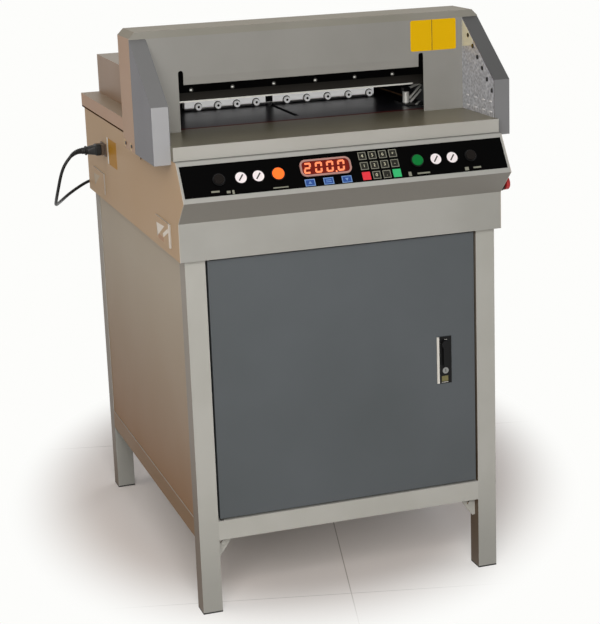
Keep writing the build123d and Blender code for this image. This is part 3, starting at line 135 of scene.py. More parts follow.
def feed(tree, node, inputs):
    """Sets a node's inputs: each is a value, a hex colour, or the output that feeds it."""
    for name, value in inputs.items():
        if isinstance(value, bpy.types.NodeSocket):
            tree.links.new(value, node.inputs[name])
        else:
            node.inputs[name].default_value = linear(value) if isinstance(value, str) else value


def add(tree, kind, inputs=None, **settings):
    """One node with its settings and its inputs."""
    made = tree.nodes.new(kind)
    for name, value in settings.items():
        setattr(made, name, value)
    feed(tree, made, inputs or {})
    return made


def new_material(name, specular=0.3):
    """An empty material with its shader and output, and object coordinates."""
    material = bpy.data.materials.new(name)
    material.use_nodes = True
    tree = material.node_tree
    tree.nodes.clear()
    shader = add(tree, "ShaderNodeBsdfPrincipled", {"Specular IOR Level": specular})
    add(tree, "ShaderNodeOutputMaterial", {"Surface": shader.outputs["BSDF"]})
    place = add(tree, "ShaderNodeTexCoord").outputs["Object"]
    return material, tree, shader, place


def tinted(tree, colour, *tints):
    """Lays tints over a colour in turn: each is the share that it takes, and its colour."""
    for share, tint in tints:
        mixed = add(tree, "ShaderNodeMix", {"Factor": share, 6: colour, 7: tint}, data_type="RGBA")
        colour = mixed.outputs[2]
    return colour


def facing(tree):
    """The surface's normal in object coordinates, split into X, Y and Z."""
    normal = add(tree, "ShaderNodeTexCoord").outputs["Normal"]
    return add(tree, "ShaderNodeSeparateXYZ", {"Vector": normal}).outputs


def faces_along(tree, axis, least):
    """1 on the faces whose outward normal lies along an axis, else 0."""
    size = add(tree, "ShaderNodeMath", {0: facing(tree)[axis]}, operation="ABSOLUTE")
    return add(tree, "ShaderNodeMath", {0: size.outputs[0], 1: least}, operation="GREATER_THAN").outputs[0]


def faces_down(tree):
    """1 on the faces that look down, else 0."""
    down = add(tree, "ShaderNodeMath", {0: facing(tree)["Z"], 1: FACES_DOWN}, operation="LESS_THAN")
    return down.outputs[0]


def faces_inward(tree, place):
    """1 on the walls that look towards the middle of the machine, else 0."""
    across = add(tree, "ShaderNodeSeparateXYZ", {"Vector": place}).outputs["X"]
    product = add(tree, "ShaderNodeMath", {0: facing(tree)["X"], 1: across}, operation="MULTIPLY")
    inward = add(tree, "ShaderNodeMath", {0: product.outputs[0], 1: FACES_INWARD}, operation="LESS_THAN")
    return inward.outputs[0]


def beyond(tree, place, axis, start, end):
    """Goes from 0 to 1 between two places along an axis, in millimetres."""
    along = add(tree, "ShaderNodeSeparateXYZ", {"Vector": place}).outputs[axis]
    return add(tree, "ShaderNodeMapRange", {"Value": along, "From Min": start * MM,
                                            "From Max": end * MM}).outputs[0]


def grained(tree, place, grain_mm, strength):
    """The normal of a surface with a fine, soft grain."""
    grain = add(tree, "ShaderNodeTexNoise", {"Vector": place, "Scale": 1 / (grain_mm * MM), "Detail": 2.0})
    return add(tree, "ShaderNodeBump", {"Height": grain.outputs["Fac"], "Strength": strength,
                                        "Distance": GRAIN_DEPTH * MM}).outputs["Normal"]


def powder_coat(name, colour, worn, floor_shade=None, sides=None, side_floor_shade=None, top_shading=None, under_shade=None, inner_shade=None,
                roughness=0.45, orange_peel_mm=2.5, bump=0.12, cloud_mm=160.0, specular=0.3):
    """Powder coat on steel: satin, with a fine orange peel and slow clouds of handling dirt.

    Faces that look sideways and faces that look up can take tints of painted light and shade. Two tints
    by the floor are painted shade that darkens every face, and the sides alone, towards the floor. Faces
    that look down and inner walls can take a dark tint of painted shade.
    """
    material, tree, shader, place = new_material(name, specular)
    clouds = add(tree, "ShaderNodeTexNoise", {"Vector": place, "Scale": 1 / (cloud_mm * MM), "Detail": 3.0})
    cloud = clouds.outputs["Fac"]
    ramp = add(tree, "ShaderNodeMapRange", {"Value": cloud, "From Min": CLOUD_FROM, "From Max": CLOUD_TO})
    colour = tinted(tree, colour, (ramp.outputs["Result"], worn))
    # Painted shade: every face darker towards the floor
    if floor_shade:
        colour = tinted(tree, colour, (beyond(tree, place, "Z", FLOOR_SHADE_TOP, FLOOR_SHADE_BOTTOM), floor_shade))
    # Painted shade: the sides darker and browner towards the floor
    if side_floor_shade:
        sides = tinted(tree, sides, (beyond(tree, place, "Z", SIDE_SHADE_TOP, SIDE_SHADE_BOTTOM), side_floor_shade))
    # Painted light and shade on faces that look sideways
    if sides:
        colour = tinted(tree, colour, (faces_along(tree, "X", FACES_SIDEWAYS), sides))
    # Painted light and shade on faces that look up
    if top_shading:
        colour = tinted(tree, colour, (faces_along(tree, "Z", FACES_UP), top_shading))
    # Painted shade on faces that look down
    if under_shade:
        colour = tinted(tree, colour, (faces_down(tree), under_shade))
    # Painted shade on inner walls
    if inner_shade:
        colour = tinted(tree, colour, (faces_inward(tree, place), inner_shade))
    gloss = add(tree, "ShaderNodeMapRange", {"Value": cloud, "To Min": roughness - 0.04,
                                             "To Max": roughness + 0.06})
    feed(tree, shader, {"Base Color": colour, "Normal": grained(tree, place, orange_peel_mm, bump),
                        "Roughness": gloss.outputs["Result"]})
    return material


def moulded_plastic(name, colour, roughness=0.4, grain_mm=1.2, bump=0.1, coat=0.0, specular=0.3):
    """Moulded ABS or nylon, or printed film: one colour, with a fine spark-eroded grain.

    The grain is drawn several times coarser than a real one, so that it shows from close by.
    """
    material, tree, shader, place = new_material(name, specular)
    feed(tree, shader, {"Base Color": colour, "Normal": grained(tree, place, grain_mm, bump),
                        "Roughness": roughness, "Coat Weight": coat})
    return material


def lit_plastic(name, colour, glow, strength, roughness=0.35):
    """Translucent acrylic with a lamp behind it: it glows a little in its own colour.

    Parts with no lamp behind them get the same glow as painted light.
    """
    material = moulded_plastic(name, colour, roughness, specular=0.12)
    shader = material.node_tree.nodes["Principled BSDF"]
    feed(material.node_tree, shader, {"Emission Color": glow, "Emission Strength": strength})
    return material


def ground_steel(name, colour, along, roughness=0.3, line_mm=0.8, metallic=1.0, bump=0.1):
    """Ground or brushed metal: fine lines that run along one axis.

    The lines are drawn coarser than real ones, so that they show from close by. The colour is one hex
    value, or an axis, two places along it and the colours at either end.
    """
    material, tree, shader, place = new_material(name)
    stretch = [1 / (line_mm * MM)] * 3
    stretch["XYZ".index(along)] /= LINE_STRETCH
    stretched = add(tree, "ShaderNodeMapping", {"Vector": place, "Scale": stretch}).outputs["Vector"]
    noise = add(tree, "ShaderNodeTexNoise", {"Vector": stretched, "Scale": 1.0, "Detail": 3.0})
    lines = noise.outputs["Fac"]
    raised = add(tree, "ShaderNodeBump", {"Height": lines, "Strength": bump, "Distance": LINE_DEPTH * MM})
    gloss = add(tree, "ShaderNodeMapRange", {"Value": lines, "To Min": roughness - 0.08,
                                             "To Max": roughness + 0.1})
    if not isinstance(colour, str):
        axis, start, end, first, second = colour
        colour = tinted(tree, first, (beyond(tree, place, axis, start, end), second))
    feed(tree, shader, {"Base Color": colour, "Normal": raised.outputs["Normal"],
                        "Roughness": gloss.outputs["Result"], "Metallic": metallic})
    return material


def hammered_coat(name, dark, light, edges, dimple_mm):
    """Hammer finish on sheet steel: shallow dimples with painted highlights on rims, and bare dull edges."""
    material, tree, shader, place = new_material(name)
    dimples = add(tree, "ShaderNodeTexVoronoi", {"Vector": place, "Scale": 1 / (dimple_mm * MM)})
    rim = dimples.outputs["Distance"]
    face = tinted(tree, dark, (rim, light))
    colour = tinted(tree, edges, (faces_along(tree, "X", FACES_SIDEWAYS), face))
    raised = add(tree, "ShaderNodeBump", {"Height": rim, "Strength": 0.5, "Distance": DIMPLE_DEPTH * MM})
    feed(tree, shader, {"Base Color": colour, "Normal": raised.outputs["Normal"], "Roughness": 0.36,
                        "Metallic": 0.35})
    return material


# Powder coats: satin greys, with painted light and shade on the sides, on top, on undersides and by the floor
stand_coat = powder_coat("powder_coat_light_grey", "#aeaea9", "#a6a6a0", floor_shade="#9b9b96", sides="#8a8176",
                         side_floor_shade="#5e4e3d")
rail_coat = powder_coat("powder_coat_rails", "#b4b4af", "#acaca6", sides="#7c5c38", specular=0.1)
body_coat = powder_coat("powder_coat_warm_grey", "#a0a09c", "#979792", under_shade="#878580")
side_coat = powder_coat("powder_coat_greige", "#b3aea6", "#ada69c", sides="#b6aa98", side_floor_shade="#87613b",
                        roughness=0.5, specular=0.1)
flank_coat = powder_coat("powder_coat_beige", "#b3aea6", "#ada69c", sides="#c0a382", roughness=0.5,
                         specular=0.1)
lid_coat = powder_coat("powder_coat_lid", "#8f8c86", "#8a8680", sides="#a8805f", top_shading="#8f7c66")
# The rear cover's undersides and inner walls are nearly black: painted shade
cover_coat = powder_coat("powder_coat_cover", "#8b8a87", "#858481", sides="#8d7056", top_shading="#8f8272",
                         under_shade="#18191b", inner_shade="#18191b")
door_coat = powder_coat("powder_coat_blue_grey", "#53585c", "#4d5255", roughness=0.42, cloud_mm=240.0)
hood_coat = powder_coat("powder_coat_mid_grey", "#8b8a86", "#84837f", roughness=0.42)
shell_coat = powder_coat("powder_coat_hood_shell", "#87857d", "#807e75", sides="#a07a58", top_shading="#6f6550",
                         roughness=0.42)
cheek_coat = powder_coat("powder_coat_cool_grey", "#9c9da0", "#96979a", sides="#545258", top_shading="#646464",
                         roughness=0.42)
# The right cheek's coat is the left cheek's grey, darker all over: painted shade
shade_coat = powder_coat("powder_coat_cheek_painted_shade", "#77787a", "#727375", sides="#6d6a70", top_shading="#474747",
                         roughness=0.42)
apron_coat = powder_coat("powder_coat_apron", "#aaa9a4", "#a19f98")
motor_coat = powder_coat("black_motor_paint", "#1b1b1c", "#232324", roughness=0.5)
liner_coat = hammered_coat("hammered_silver_coat", "#9799a1", "#e0e2ea", edges="#5c5c5e", dimple_mm=6.0)

# Enamels: nearly black, with hardly any sheen
black_enamel = powder_coat("black_enamel", "#040404", "#070707", roughness=0.5, bump=0.05, specular=0.0)
clamp_enamel = powder_coat("dark_enamel", "#24221f", "#282624", roughness=0.4, bump=0.04, specular=0.06)

# Plastics and rubber: deep blacks with a soft sheen, saturated buttons, and a smoky clear window
panel_film = moulded_plastic("black_polyester_film", "#020202", roughness=0.5, grain_mm=0.6, bump=0.05,
                             specular=0.02)
black_plastic = moulded_plastic("black_nylon", "#0c0c0d", roughness=0.42, specular=0.15)
# The inlet's dark brown is painted shade: its flange in the warm side light
inlet_plastic = moulded_plastic("brown_inlet_painted_shade", "#5a4c40", roughness=0.45, specular=0.2)
foot_plastic = moulded_plastic("black_polyethylene", "#141414", roughness=0.55)
stick_plastic = moulded_plastic("dark_red_nylon", "#5a1414", roughness=0.5)
stop_plastic = moulded_plastic("signal_red_abs", "#b01616", roughness=0.3, coat=0.4)
amber_plastic = moulded_plastic("dark_amber_acrylic", "#0c0704", roughness=0.35, specular=0.12)
power_plastic = lit_plastic("lit_red_acrylic", "#e85a20", "#ff7a30", 0.6)
reset_plastic = lit_plastic("green_acrylic", "#04602a", "#04742f", 0.25)
lens_plastic = moulded_plastic("smoked_acrylic", "#1c1c20", roughness=0.2)
bezel_plastic = moulded_plastic("pale_pink_abs", "#a88078", roughness=0.4)
cord_rubber = moulded_plastic("black_pvc_sheath", "#0d0d0d", roughness=0.45, grain_mm=2.0)
belt_rubber = moulded_plastic("black_neoprene", "#131313", roughness=0.7)

# Metals: fine grinding lines that draw highlights out along them
# The table turns dark behind the clamp's front: painted shade and reflection of the hood's dark interior
table_metal = ground_steel("ground_cast_iron", ("Y", -194.0, -184.0, "#8f8874", "#3b3b42"), "X",
                           roughness=0.32, line_mm=1.2, metallic=0.75)
bright_steel = ground_steel("zinc_plated_steel", "#b9b8b2", "Z", roughness=0.3)
black_steel = ground_steel("black_oxide_steel", "#353432", "Z", roughness=0.45, metallic=0.6)
screw_metal = ground_steel("ground_steel_thread", "#8d8c88", "Y", roughness=0.28)
knife_metal = ground_steel("ground_tool_steel", "#a8a8a6", "X", roughness=0.24)
guide_metal = ground_steel("bead_blasted_steel", ("X", 280.0, 281.5, "#d4d4d0", "#3a3c3e"), "Z",
                           roughness=0.45, metallic=0.3)
# The gauge's aluminium turns dark below z 947.5: painted shade beneath its pale band
gauge_metal = ground_steel("milled_aluminium", ("Z", 947.5, 949.0, "#3c3c3e", "#f4f4f0"), "X",
                           roughness=0.5, metallic=0.0)
chrome = ground_steel("chrome_plate", "#8a8a88", "X", roughness=0.12, bump=0.02)

FINISHES = {
    stand_coat: ["leg_front_left", "leg_front_right", "leg_rear_left", "leg_rear_right", "stand_back",
                 "stand_floor"],
    rail_coat: ["lower_rails", "rail_gussets"],
    body_coat: ["body_tray", "console_housing"],
    side_coat: ["stand_side_left", "stand_side_right"],
    flank_coat: ["body_side_left", "body_side_right", "access_covers"],
    lid_coat: ["rear_lid"],
    cover_coat: ["rear_cover"],
    apron_coat: ["table_apron"],
    door_coat: ["door_panel"],
    hood_coat: ["hood_front_panel"],
    shell_coat: ["hood_shell"],
    cheek_coat: ["cheek_left"],
    shade_coat: ["cheek_right"],
    table_metal: ["table_deck"],
    liner_coat: ["cheek_liners"],
    black_enamel: ["knife_guard", "knife_frames", "top_beam"],
    clamp_enamel: ["clamp_bar"],
    panel_film: ["control_fascia"],
    black_plastic: ["lock_housing", "lock_handle", "button_collars", "cord_clip"],
    inlet_plastic: ["power_inlet"],
    foot_plastic: ["leg_plugs"],
    bright_steel: ["lock_cam", "lock_strike", "knife_nut"],
    black_steel: ["door_hinges", "panel_screws"],
    screw_metal: ["knife_screw", "clamp_screw", "gauge_screw"],
    knife_metal: ["knife_blade", "knife_carriage"],
    guide_metal: ["side_guide"],
    gauge_metal: ["back_gauge"],
    chrome: ["lock_cylinder"],
    stick_plastic: ["cutting_stick"],
    stop_plastic: ["stop_button"],
    amber_plastic: ["cut_button_left", "cut_button_right"],
    power_plastic: ["power_button"],
    reset_plastic: ["reset_button"],
    lens_plastic: ["sensor_lenses"],
    bezel_plastic: ["display_window"],
    cord_rubber: ["cord_connector", "cord_lead", "cord_coil", "mains_plug"],
    belt_rubber: ["drive_belts"],
    motor_coat: ["gear_motors"],
}
for finish, names in FINISHES.items():
    for name in names:
        nodes[name].data.materials.clear()
        nodes[name].data.materials.append(finish)


# Mesh helpers. A flat piece is written as its middle, width and height, with the radius of its corners if
# it is rounded, or as two opposite corners. A bar is written as its two ends and its width.
def keep_mesh(name, mesh, material, body):
    """Puts a finished mesh in the scene as a piece that rides on a CAD body."""
    piece = bpy.data.objects.new(name, mesh)
    bpy.context.scene.collection.objects.link(piece)
    mesh.materials.clear()
    mesh.materials.append(material)
    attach(piece, body)
    return piece


def finished(shapes, name):
    """A mesh from loose bmesh faces, with its faces turned outwards."""
    bmesh.ops.recalc_face_normals(shapes, faces=shapes.faces)
    mesh = bpy.data.meshes.new(name)
    shapes.to_mesh(mesh)
    shapes.free()
    return mesh


def join_loops(shapes, first, second):
    """A band of faces between two loops of the same number of points."""
    for here in range(len(first)):
        after = (here + 1) % len(first)
        shapes.faces.new((first[here], first[after], second[after], second[here]))


def prisms(outlines, place, out_from, out_to):
    """Flat plates of the given outlines, standing out of the surface that place describes."""
    shapes = bmesh.new()
    for outline in outlines:
        lower = [shapes.verts.new(place(across, up, out_from)) for across, up in outline]
        upper = [shapes.verts.new(place(across, up, out_to)) for across, up in outline]
        shapes.faces.new(lower[::-1])
        shapes.faces.new(upper)
        join_loops(shapes, lower, upper)
    return finished(shapes, "plates")


def plates(name, outlines, place, out_from, out_to, material, slot, body="machine"):
    """A piece of flat plates that stand out of a surface, between two heights over it."""
    return keep_mesh(name, prisms(outlines, place, out_from, out_to), material, body)


def rectangle(across, up, width, height):
    """Outline of a rectangle round its centre."""
    return [(across + side * width / 2, up + rise * height / 2)
            for side, rise in ((-1, -1), (1, -1), (1, 1), (-1, 1))]


def rectangle_between(across, up, across_end, up_end):
    """Outline of a rectangle from one corner to the opposite one."""
    return rectangle((across + across_end) / 2, (up + up_end) / 2, across_end - across, up_end - up)


def disc(across, up, radius, sides=32):
    """Outline of a round plate."""
    return [(across + radius * cos(2 * pi * step / sides), up + radius * sin(2 * pi * step / sides))
            for step in range(sides)]


def rounded(across, up, width, height, radius, steps=6):
    """Outline of a rectangle with round corners."""
    outline = []
    for quarter, (side, rise) in enumerate(((1, 1), (-1, 1), (-1, -1), (1, -1))):
        for step in range(steps + 1):
            angle = (quarter + step / steps) * pi / 2
            outline.append((across + side * (width / 2 - radius) + radius * cos(angle),
                            up + rise * (height / 2 - radius) + radius * sin(angle)))
    return outline


def bar(start, end, width):
    """Outline of a straight bar between two points."""
    run = Vector(end) - Vector(start)
    side = Vector((-run.y, run.x)).normalized() * width / 2
    return [tuple(point) for point in (Vector(start) - side, Vector(end) - side, Vector(end) + side,
                                       Vector(start) + side)]


def rings(centres, outer, inner, place, out_from, out_to, sides=24):
    """Flat rings that stand out of the surface that place describes."""
    shapes = bmesh.new()
    for across, up in centres:
        loops = [[shapes.verts.new(place(a, b, out)) for a, b in disc(across, up, radius, sides)]
                 for radius, out in ((inner, out_from), (outer, out_from), (outer, out_to), (inner, out_to))]
        for first, second in zip(loops, loops[1:] + loops[:1]):
            join_loops(shapes, first, second)
    return finished(shapes, "rings")


# How thick printing, a thin skin and a stuck-on film are
PRINT = 0.08
SKIN = 0.2
FILM = 0.3

# Control face: key faces, numbers, display figures, button marks
KEY_LEFT = 33.8
KEY_BOTTOM = 21.5
KEY_PITCH = 20.8
KEY_COLUMNS = 4
KEY_ROWS = 3
KEY_SIZE = 16.5
KEY_EMBOSS = 0.5
KEY_LINE = 2.0
NUMBER_HEIGHT = 9.0
BLUE_LINE = 1.6
BLUE_KEYS = (-80.0, -43.0, -6.5)
BLUE_KEY_ROW = 19.0
BLUE_KEY_WIDTH = 20.0
BLUE_KEY_HEIGHT = 14.0
ARROW = 7.0
STOP_BAR = 10.5
DISPLAY = (-43.0, 48.25, 95.0, 27.5, 8.5)
LENS_OUT = 1.2
FIGURE_HEIGHT = 22.5
FIGURE_WIDTH = 14.5
FIGURE_STROKE = 3.8
FIGURE_SLANT = 0.12
FIGURES = "200.0"
FIGURE_PITCH = 22.4
FIGURE_FIRST = -79.4
POINT_SIDES = 12
CONTROL_ROW = 43.0
MARK_XS = (-211.0, -177.0, 181.4, 215.5)
MARK_R = 11.0

# Inks on the film have flat colours with a dull sheen, and the display's two acrylics glow
key_outline = moulded_plastic("olive_print", "#7f7f72", roughness=0.5)
key_ground = moulded_plastic("dark_olive_print", "#24241f", roughness=0.5, specular=0.1)
key_red = moulded_plastic("red_print", "#d8303c", roughness=0.4)
key_green = moulded_plastic("green_print", "#2fae6a", roughness=0.4)
key_blue = moulded_plastic("blue_print", "#1d4488", roughness=0.4)
blue_line = moulded_plastic("pale_blue_print", "#6f8fc0", roughness=0.4)
pale_print = moulded_plastic("pale_print", "#d6d2b8", roughness=0.5)
white_print = moulded_plastic("white_print", "#ece4e6", roughness=0.5)
mark_print = moulded_plastic("dark_grey_print", "#3a3230", roughness=0.5)
display_dark = lit_plastic("dark_red_window", "#5a1008", "#6a1206", 0.3)
figure_glow = lit_plastic("glowing_figures", "#b06048", "#ff8a58", 0.9)

key_places = [(KEY_LEFT + column * KEY_PITCH, KEY_BOTTOM + row * KEY_PITCH)
              for row in range(KEY_ROWS) for column in range(KEY_COLUMNS)]
red_key, green_key = key_places[0], key_places[KEY_COLUMNS - 1]


def grid_of_frames():
    """Printed frames of the keypad: one frame set out on a grid by Geometry Nodes."""
    tree = bpy.data.node_groups.new("keypad_frames", "GeometryNodeTree")
    for label, value in (("Pitch", KEY_PITCH * MM), ("Frame Size", KEY_SIZE * MM), ("Line", KEY_LINE * MM),
                         ("Height", PRINT * MM)):
        socket = tree.interface.new_socket(label, in_out="INPUT", socket_type="NodeSocketFloat")
        socket.default_value = value
    tree.interface.new_socket("Geometry", in_out="OUTPUT", socket_type="NodeSocketGeometry")
    sizes = add(tree, "NodeGroupInput").outputs
    wide = add(tree, "ShaderNodeMath", {0: sizes["Pitch"], 1: KEY_COLUMNS - 1.0}, operation="MULTIPLY")
    high = add(tree, "ShaderNodeMath", {0: sizes["Pitch"], 1: KEY_ROWS - 1.0}, operation="MULTIPLY")
    grid = add(tree, "GeometryNodeMeshGrid", {"Size X": wide.outputs[0], "Size Y": high.outputs[0],
                                              "Vertices X": KEY_COLUMNS, "Vertices Y": KEY_ROWS})
    inset = add(tree, "ShaderNodeMath", {0: sizes["Frame Size"], 1: sizes["Line"]}, operation="SUBTRACT")
    path = add(tree, "GeometryNodeCurvePrimitiveQuadrilateral", {"Width": inset.outputs[0],
                                                                "Height": inset.outputs[0]})
    section = add(tree, "GeometryNodeCurvePrimitiveQuadrilateral", {"Width": sizes["Line"],
                                                                   "Height": sizes["Height"]})
    swept = add(tree, "GeometryNodeCurveToMesh", {"Curve": path.outputs["Curve"],
                                                  "Profile Curve": section.outputs["Curve"]})
    spread = add(tree, "GeometryNodeInstanceOnPoints", {"Points": grid.outputs["Mesh"],
                                                        "Instance": swept.outputs["Mesh"]})
    real = add(tree, "GeometryNodeRealizeInstances", {"Geometry": spread.outputs["Instances"]})
    painted = add(tree, "GeometryNodeSetMaterial", {"Geometry": real.outputs["Geometry"],
                                                    "Material": key_outline})
    add(tree, "NodeGroupOutput", {"Geometry": painted.outputs["Geometry"]})
    return tree


def plain_mesh(holder):
    """The finished mesh of a helper object, which is then taken away."""
    bpy.context.scene.collection.objects.link(holder)
    mesh = bpy.data.meshes.new_from_object(holder.evaluated_get(bpy.context.evaluated_depsgraph_get()))
    bpy.data.objects.remove(holder)
    return mesh


def fascia_matrix(across, up, out):
    """Turns a flat mesh, drawn in metres, onto the control face."""
    turn = Matrix((Vector((1, 0, 0)), up_slope, out_of_slope)).transposed().to_4x4()
    return Matrix.Translation(on_fascia(across, up, out)) @ turn


def key_figure(name, figure, place):
    """A plain figure in the middle of a key, as a thin mesh."""
    curve = bpy.data.curves.new(name, "FONT")
    curve.body = figure
    curve.size = NUMBER_HEIGHT * MM
    curve.align_x = "CENTER"
    curve.align_y = "CENTER"
    curve.extrude = PRINT / 2 * MM
    mesh = plain_mesh(bpy.data.objects.new(name, curve))
    mesh.transform(fascia_matrix(*place, KEY_EMBOSS + PRINT / 2))
    keep_mesh(name, mesh, pale_print, "machine")


carrier = bpy.data.objects.new("carrier", bpy.data.meshes.new("carrier"))
carrier.modifiers.new("tree", "NODES").node_group = grid_of_frames()
frames_mesh = plain_mesh(carrier)
frames_mesh.transform(fascia_matrix(KEY_LEFT + (KEY_COLUMNS - 1) / 2 * KEY_PITCH,
                                    KEY_BOTTOM + (KEY_ROWS - 1) / 2 * KEY_PITCH, KEY_EMBOSS + PRINT / 2))
keep_mesh("keypad_frames", frames_mesh, key_outline, "machine")

KEY_FIGURES = ("", "0", ".", "", "1", "2", "3", "-", "4", "5", "6", "+")
for number, (place, figure) in enumerate(zip(key_places, KEY_FIGURES)):
    if figure:
        key_figure(f"key_figure_{number}", figure, place)

plates("key_grounds", [rectangle(*place, KEY_SIZE - KEY_LINE, KEY_SIZE - KEY_LINE) for place in key_places],
       on_fascia, KEY_EMBOSS, KEY_EMBOSS + PRINT / 4, key_ground, "panel_black")
for name, place, finish in (("key_face_red", red_key, key_red), ("key_face_green", green_key, key_green)):
    plates(name, [rectangle(*place, KEY_SIZE, KEY_SIZE)], on_fascia, KEY_EMBOSS, KEY_EMBOSS + 2 * PRINT,
           finish, "panel_black")

for name, line, layer, finish in (("blue_key_edges", 0, 0, blue_line),
                                  ("blue_key_faces", BLUE_LINE, 1, key_blue)):
    blue_keys = [rectangle(x, BLUE_KEY_ROW, BLUE_KEY_WIDTH - 2 * line, BLUE_KEY_HEIGHT - 2 * line)
                 for x in BLUE_KEYS]
    plates(name, blue_keys, on_fascia, KEY_EMBOSS + layer * PRINT, KEY_EMBOSS + (layer + 1) * PRINT,
           finish, "panel_black")


def arrow(across, way):
    """Outline of an arrow on a blue key that points up (1) or down (-1)."""
    return [(across - ARROW / 2, BLUE_KEY_ROW - way * ARROW / 3),
            (across + ARROW / 2, BLUE_KEY_ROW - way * ARROW / 3), (across, BLUE_KEY_ROW + way * ARROW / 2)]


stop_bars = [rectangle(BLUE_KEYS[1], BLUE_KEY_ROW + way * ARROW / 4, STOP_BAR, ARROW / 5) for way in (1, -1)]
plates("blue_key_arrows", [arrow(BLUE_KEYS[0], 1), *stop_bars, arrow(BLUE_KEYS[2], -1)], on_fascia,
       KEY_EMBOSS + 2 * PRINT, KEY_EMBOSS + 3 * PRINT, blue_line, "panel_black")

plates("display_glass", [rounded(*DISPLAY)], on_fascia, LENS_OUT, LENS_OUT + PRINT, display_dark,
       "display_clear")

SEGMENTS = {"0": "abcdef", "2": "abdeg"}


def figure_outlines(figure, across, up):
    """The lit bars of one seven-segment figure, leaning a little to the right."""
    half, tall, stroke = FIGURE_WIDTH / 2, FIGURE_HEIGHT / 2, FIGURE_STROKE
    flat = (FIGURE_WIDTH - stroke, stroke)
    upright = (stroke, tall - stroke)
    side, top = half - stroke / 2, tall - stroke / 2
    places = {
        "a": (0, top, *flat), "g": (0, 0, *flat), "d": (0, -top, *flat), "b": (side, tall / 2, *upright),
        "c": (side, -tall / 2, *upright), "e": (-side, -tall / 2, *upright), "f": (-side, tall / 2, *upright),
    }
    return [[(across + a + FIGURE_SLANT * b, up + b) for a, b in rectangle(*places[segment])]
            for segment in SEGMENTS[figure]]


display_row = DISPLAY[1]
lit_bars = []
figure_x = FIGURE_FIRST
for figure in FIGURES:
    if figure == ".":
        lit_bars.append(disc(figure_x - FIGURE_PITCH / 2, display_row - FIGURE_HEIGHT / 2, FIGURE_STROKE / 2,
                             POINT_SIDES))
    else:
        lit_bars += figure_outlines(figure, figure_x, display_row)
        figure_x += FIGURE_PITCH
plates("display_figures", lit_bars, on_fascia, LENS_OUT + PRINT, LENS_OUT + 2 * PRINT, figure_glow,
       "display_clear")

# Four white discs, each with a plain bar across it, and small plain bars below the controls
MARK_BAR = ((-4.5, -6.0), (4.5, 6.0), 2.8)
NAME_BARS = [(-240.0, 16.5, 7, 5), (-231.0, 15.5, 4, 8), (-265.0, 19.5, 16, 3.5), (-138.5, 15.5, 30, 2.2),
             (122.0, 17.0, 6, 9), (150.0, 16.5, 26, 3.2), (240.0, 16.5, 8, 7), (262.0, 17.5, 16, 3.5)]
(bar_x, bar_up), (bar_end_x, bar_end_up), bar_width = MARK_BAR
mark_bars = [bar((x + bar_x, CONTROL_ROW + bar_up), (x + bar_end_x, CONTROL_ROW + bar_end_up), bar_width)
             for x in MARK_XS]
plates("mark_discs", [disc(x, CONTROL_ROW, MARK_R) for x in MARK_XS], on_fascia, 0, PRINT, white_print,
       "panel_black")
plates("mark_bars", mark_bars, on_fascia, PRINT, 2 * PRINT, mark_print, "panel_black")
plates("name_bars", [rectangle(*name_bar) for name_bar in NAME_BARS], on_fascia, 0, PRINT, key_outline,
       "panel_black")

# Back gauge: bright rings round the knuckles' bores and pale bands on its beams, both with a painted glow,
# and painted shade in the bores, round the rings and in the gap between the bands
KNUCKLE_Z = 951.5
KNUCKLE_R = 7.0
KNUCKLE_HOLE_R = 2.6
KNUCKLE_XS = (-164.5, -121.5, -80.0, -37.0, 31.4, 76.9, 123.6, 171.4, 219.5)
BORE_SIDES = 16
RING_PROUD = 0.3
SHADE_R = 8.8
SHADE_HOLE_R = 7.1
BEAM_OUT = -6.0
GAUGE_BANDS = ((-104.5, 967.0, 178.0, 34.0), (115.5, 967.0, 230.0, 34.0))
GAP_BLOCK = (-7.5, 967.0, 16.0, 34.0)

# Painted light: white nylon and pale film glow a little, with no lamp behind, to stay bright in the shade
glowing_ring_nylon = lit_plastic("white_nylon_painted_glow", "#eeeeec", "#ffffff", 0.2)
glowing_band_film = lit_plastic("pale_scale_film_painted_glow", "#eeeeec", "#ffffff", 0.3)
shade_print = moulded_plastic("dark_gap_shade", "#0c0c0d", roughness=0.6, specular=0.05)
ring_shade = moulded_plastic("grey_bushing_shade", "#2c2c30", roughness=0.6)

knuckle_places = [(x, KNUCKLE_Z) for x in KNUCKLE_XS]
plates("gauge_bands", [rectangle(*band) for band in GAUGE_BANDS], on_gauge, BEAM_OUT, BEAM_OUT + SKIN,
       glowing_band_film, "gauge_aluminium", "gauge")
shade_rings = rings(knuckle_places, SHADE_R, SHADE_HOLE_R, on_gauge, BEAM_OUT + SKIN, BEAM_OUT + 2 * SKIN)
keep_mesh("gauge_ring_shades", shade_rings, ring_shade, "gauge")
plates("gauge_bores", [disc(*place, KNUCKLE_HOLE_R, BORE_SIDES) for place in knuckle_places], on_gauge,
       0.0, SKIN, shade_print, "gauge_aluminium", "gauge")
bright_rings = rings(knuckle_places, KNUCKLE_R, KNUCKLE_HOLE_R, on_gauge, 0.0, RING_PROUD)
keep_mesh("gauge_rings", bright_rings, glowing_ring_nylon, "gauge")
plates("gauge_gap_shade", [rectangle(*GAP_BLOCK)], on_gauge, BEAM_OUT, BEAM_OUT + SKIN, shade_print,
       "gauge_aluminium", "gauge")

# Clamp: a ground steel strip along its lower edge
STRIP_HEIGHT = 3.0
STRIP_END = 234.0
STRIP_PROUD = 0.4
strip_metal = ground_steel("polished_steel_strip", "#c8c8c4", "X", roughness=0.3, metallic=0.3)
strip_outline = rectangle((clamp_low.x + STRIP_END) / 2, clamp_low.z + STRIP_HEIGHT / 2,
                          STRIP_END - clamp_low.x, STRIP_HEIGHT)
plates("clamp_strip", [strip_outline], on_clamp, 0.0, STRIP_PROUD, strip_metal, "knife_steel", "clamp")

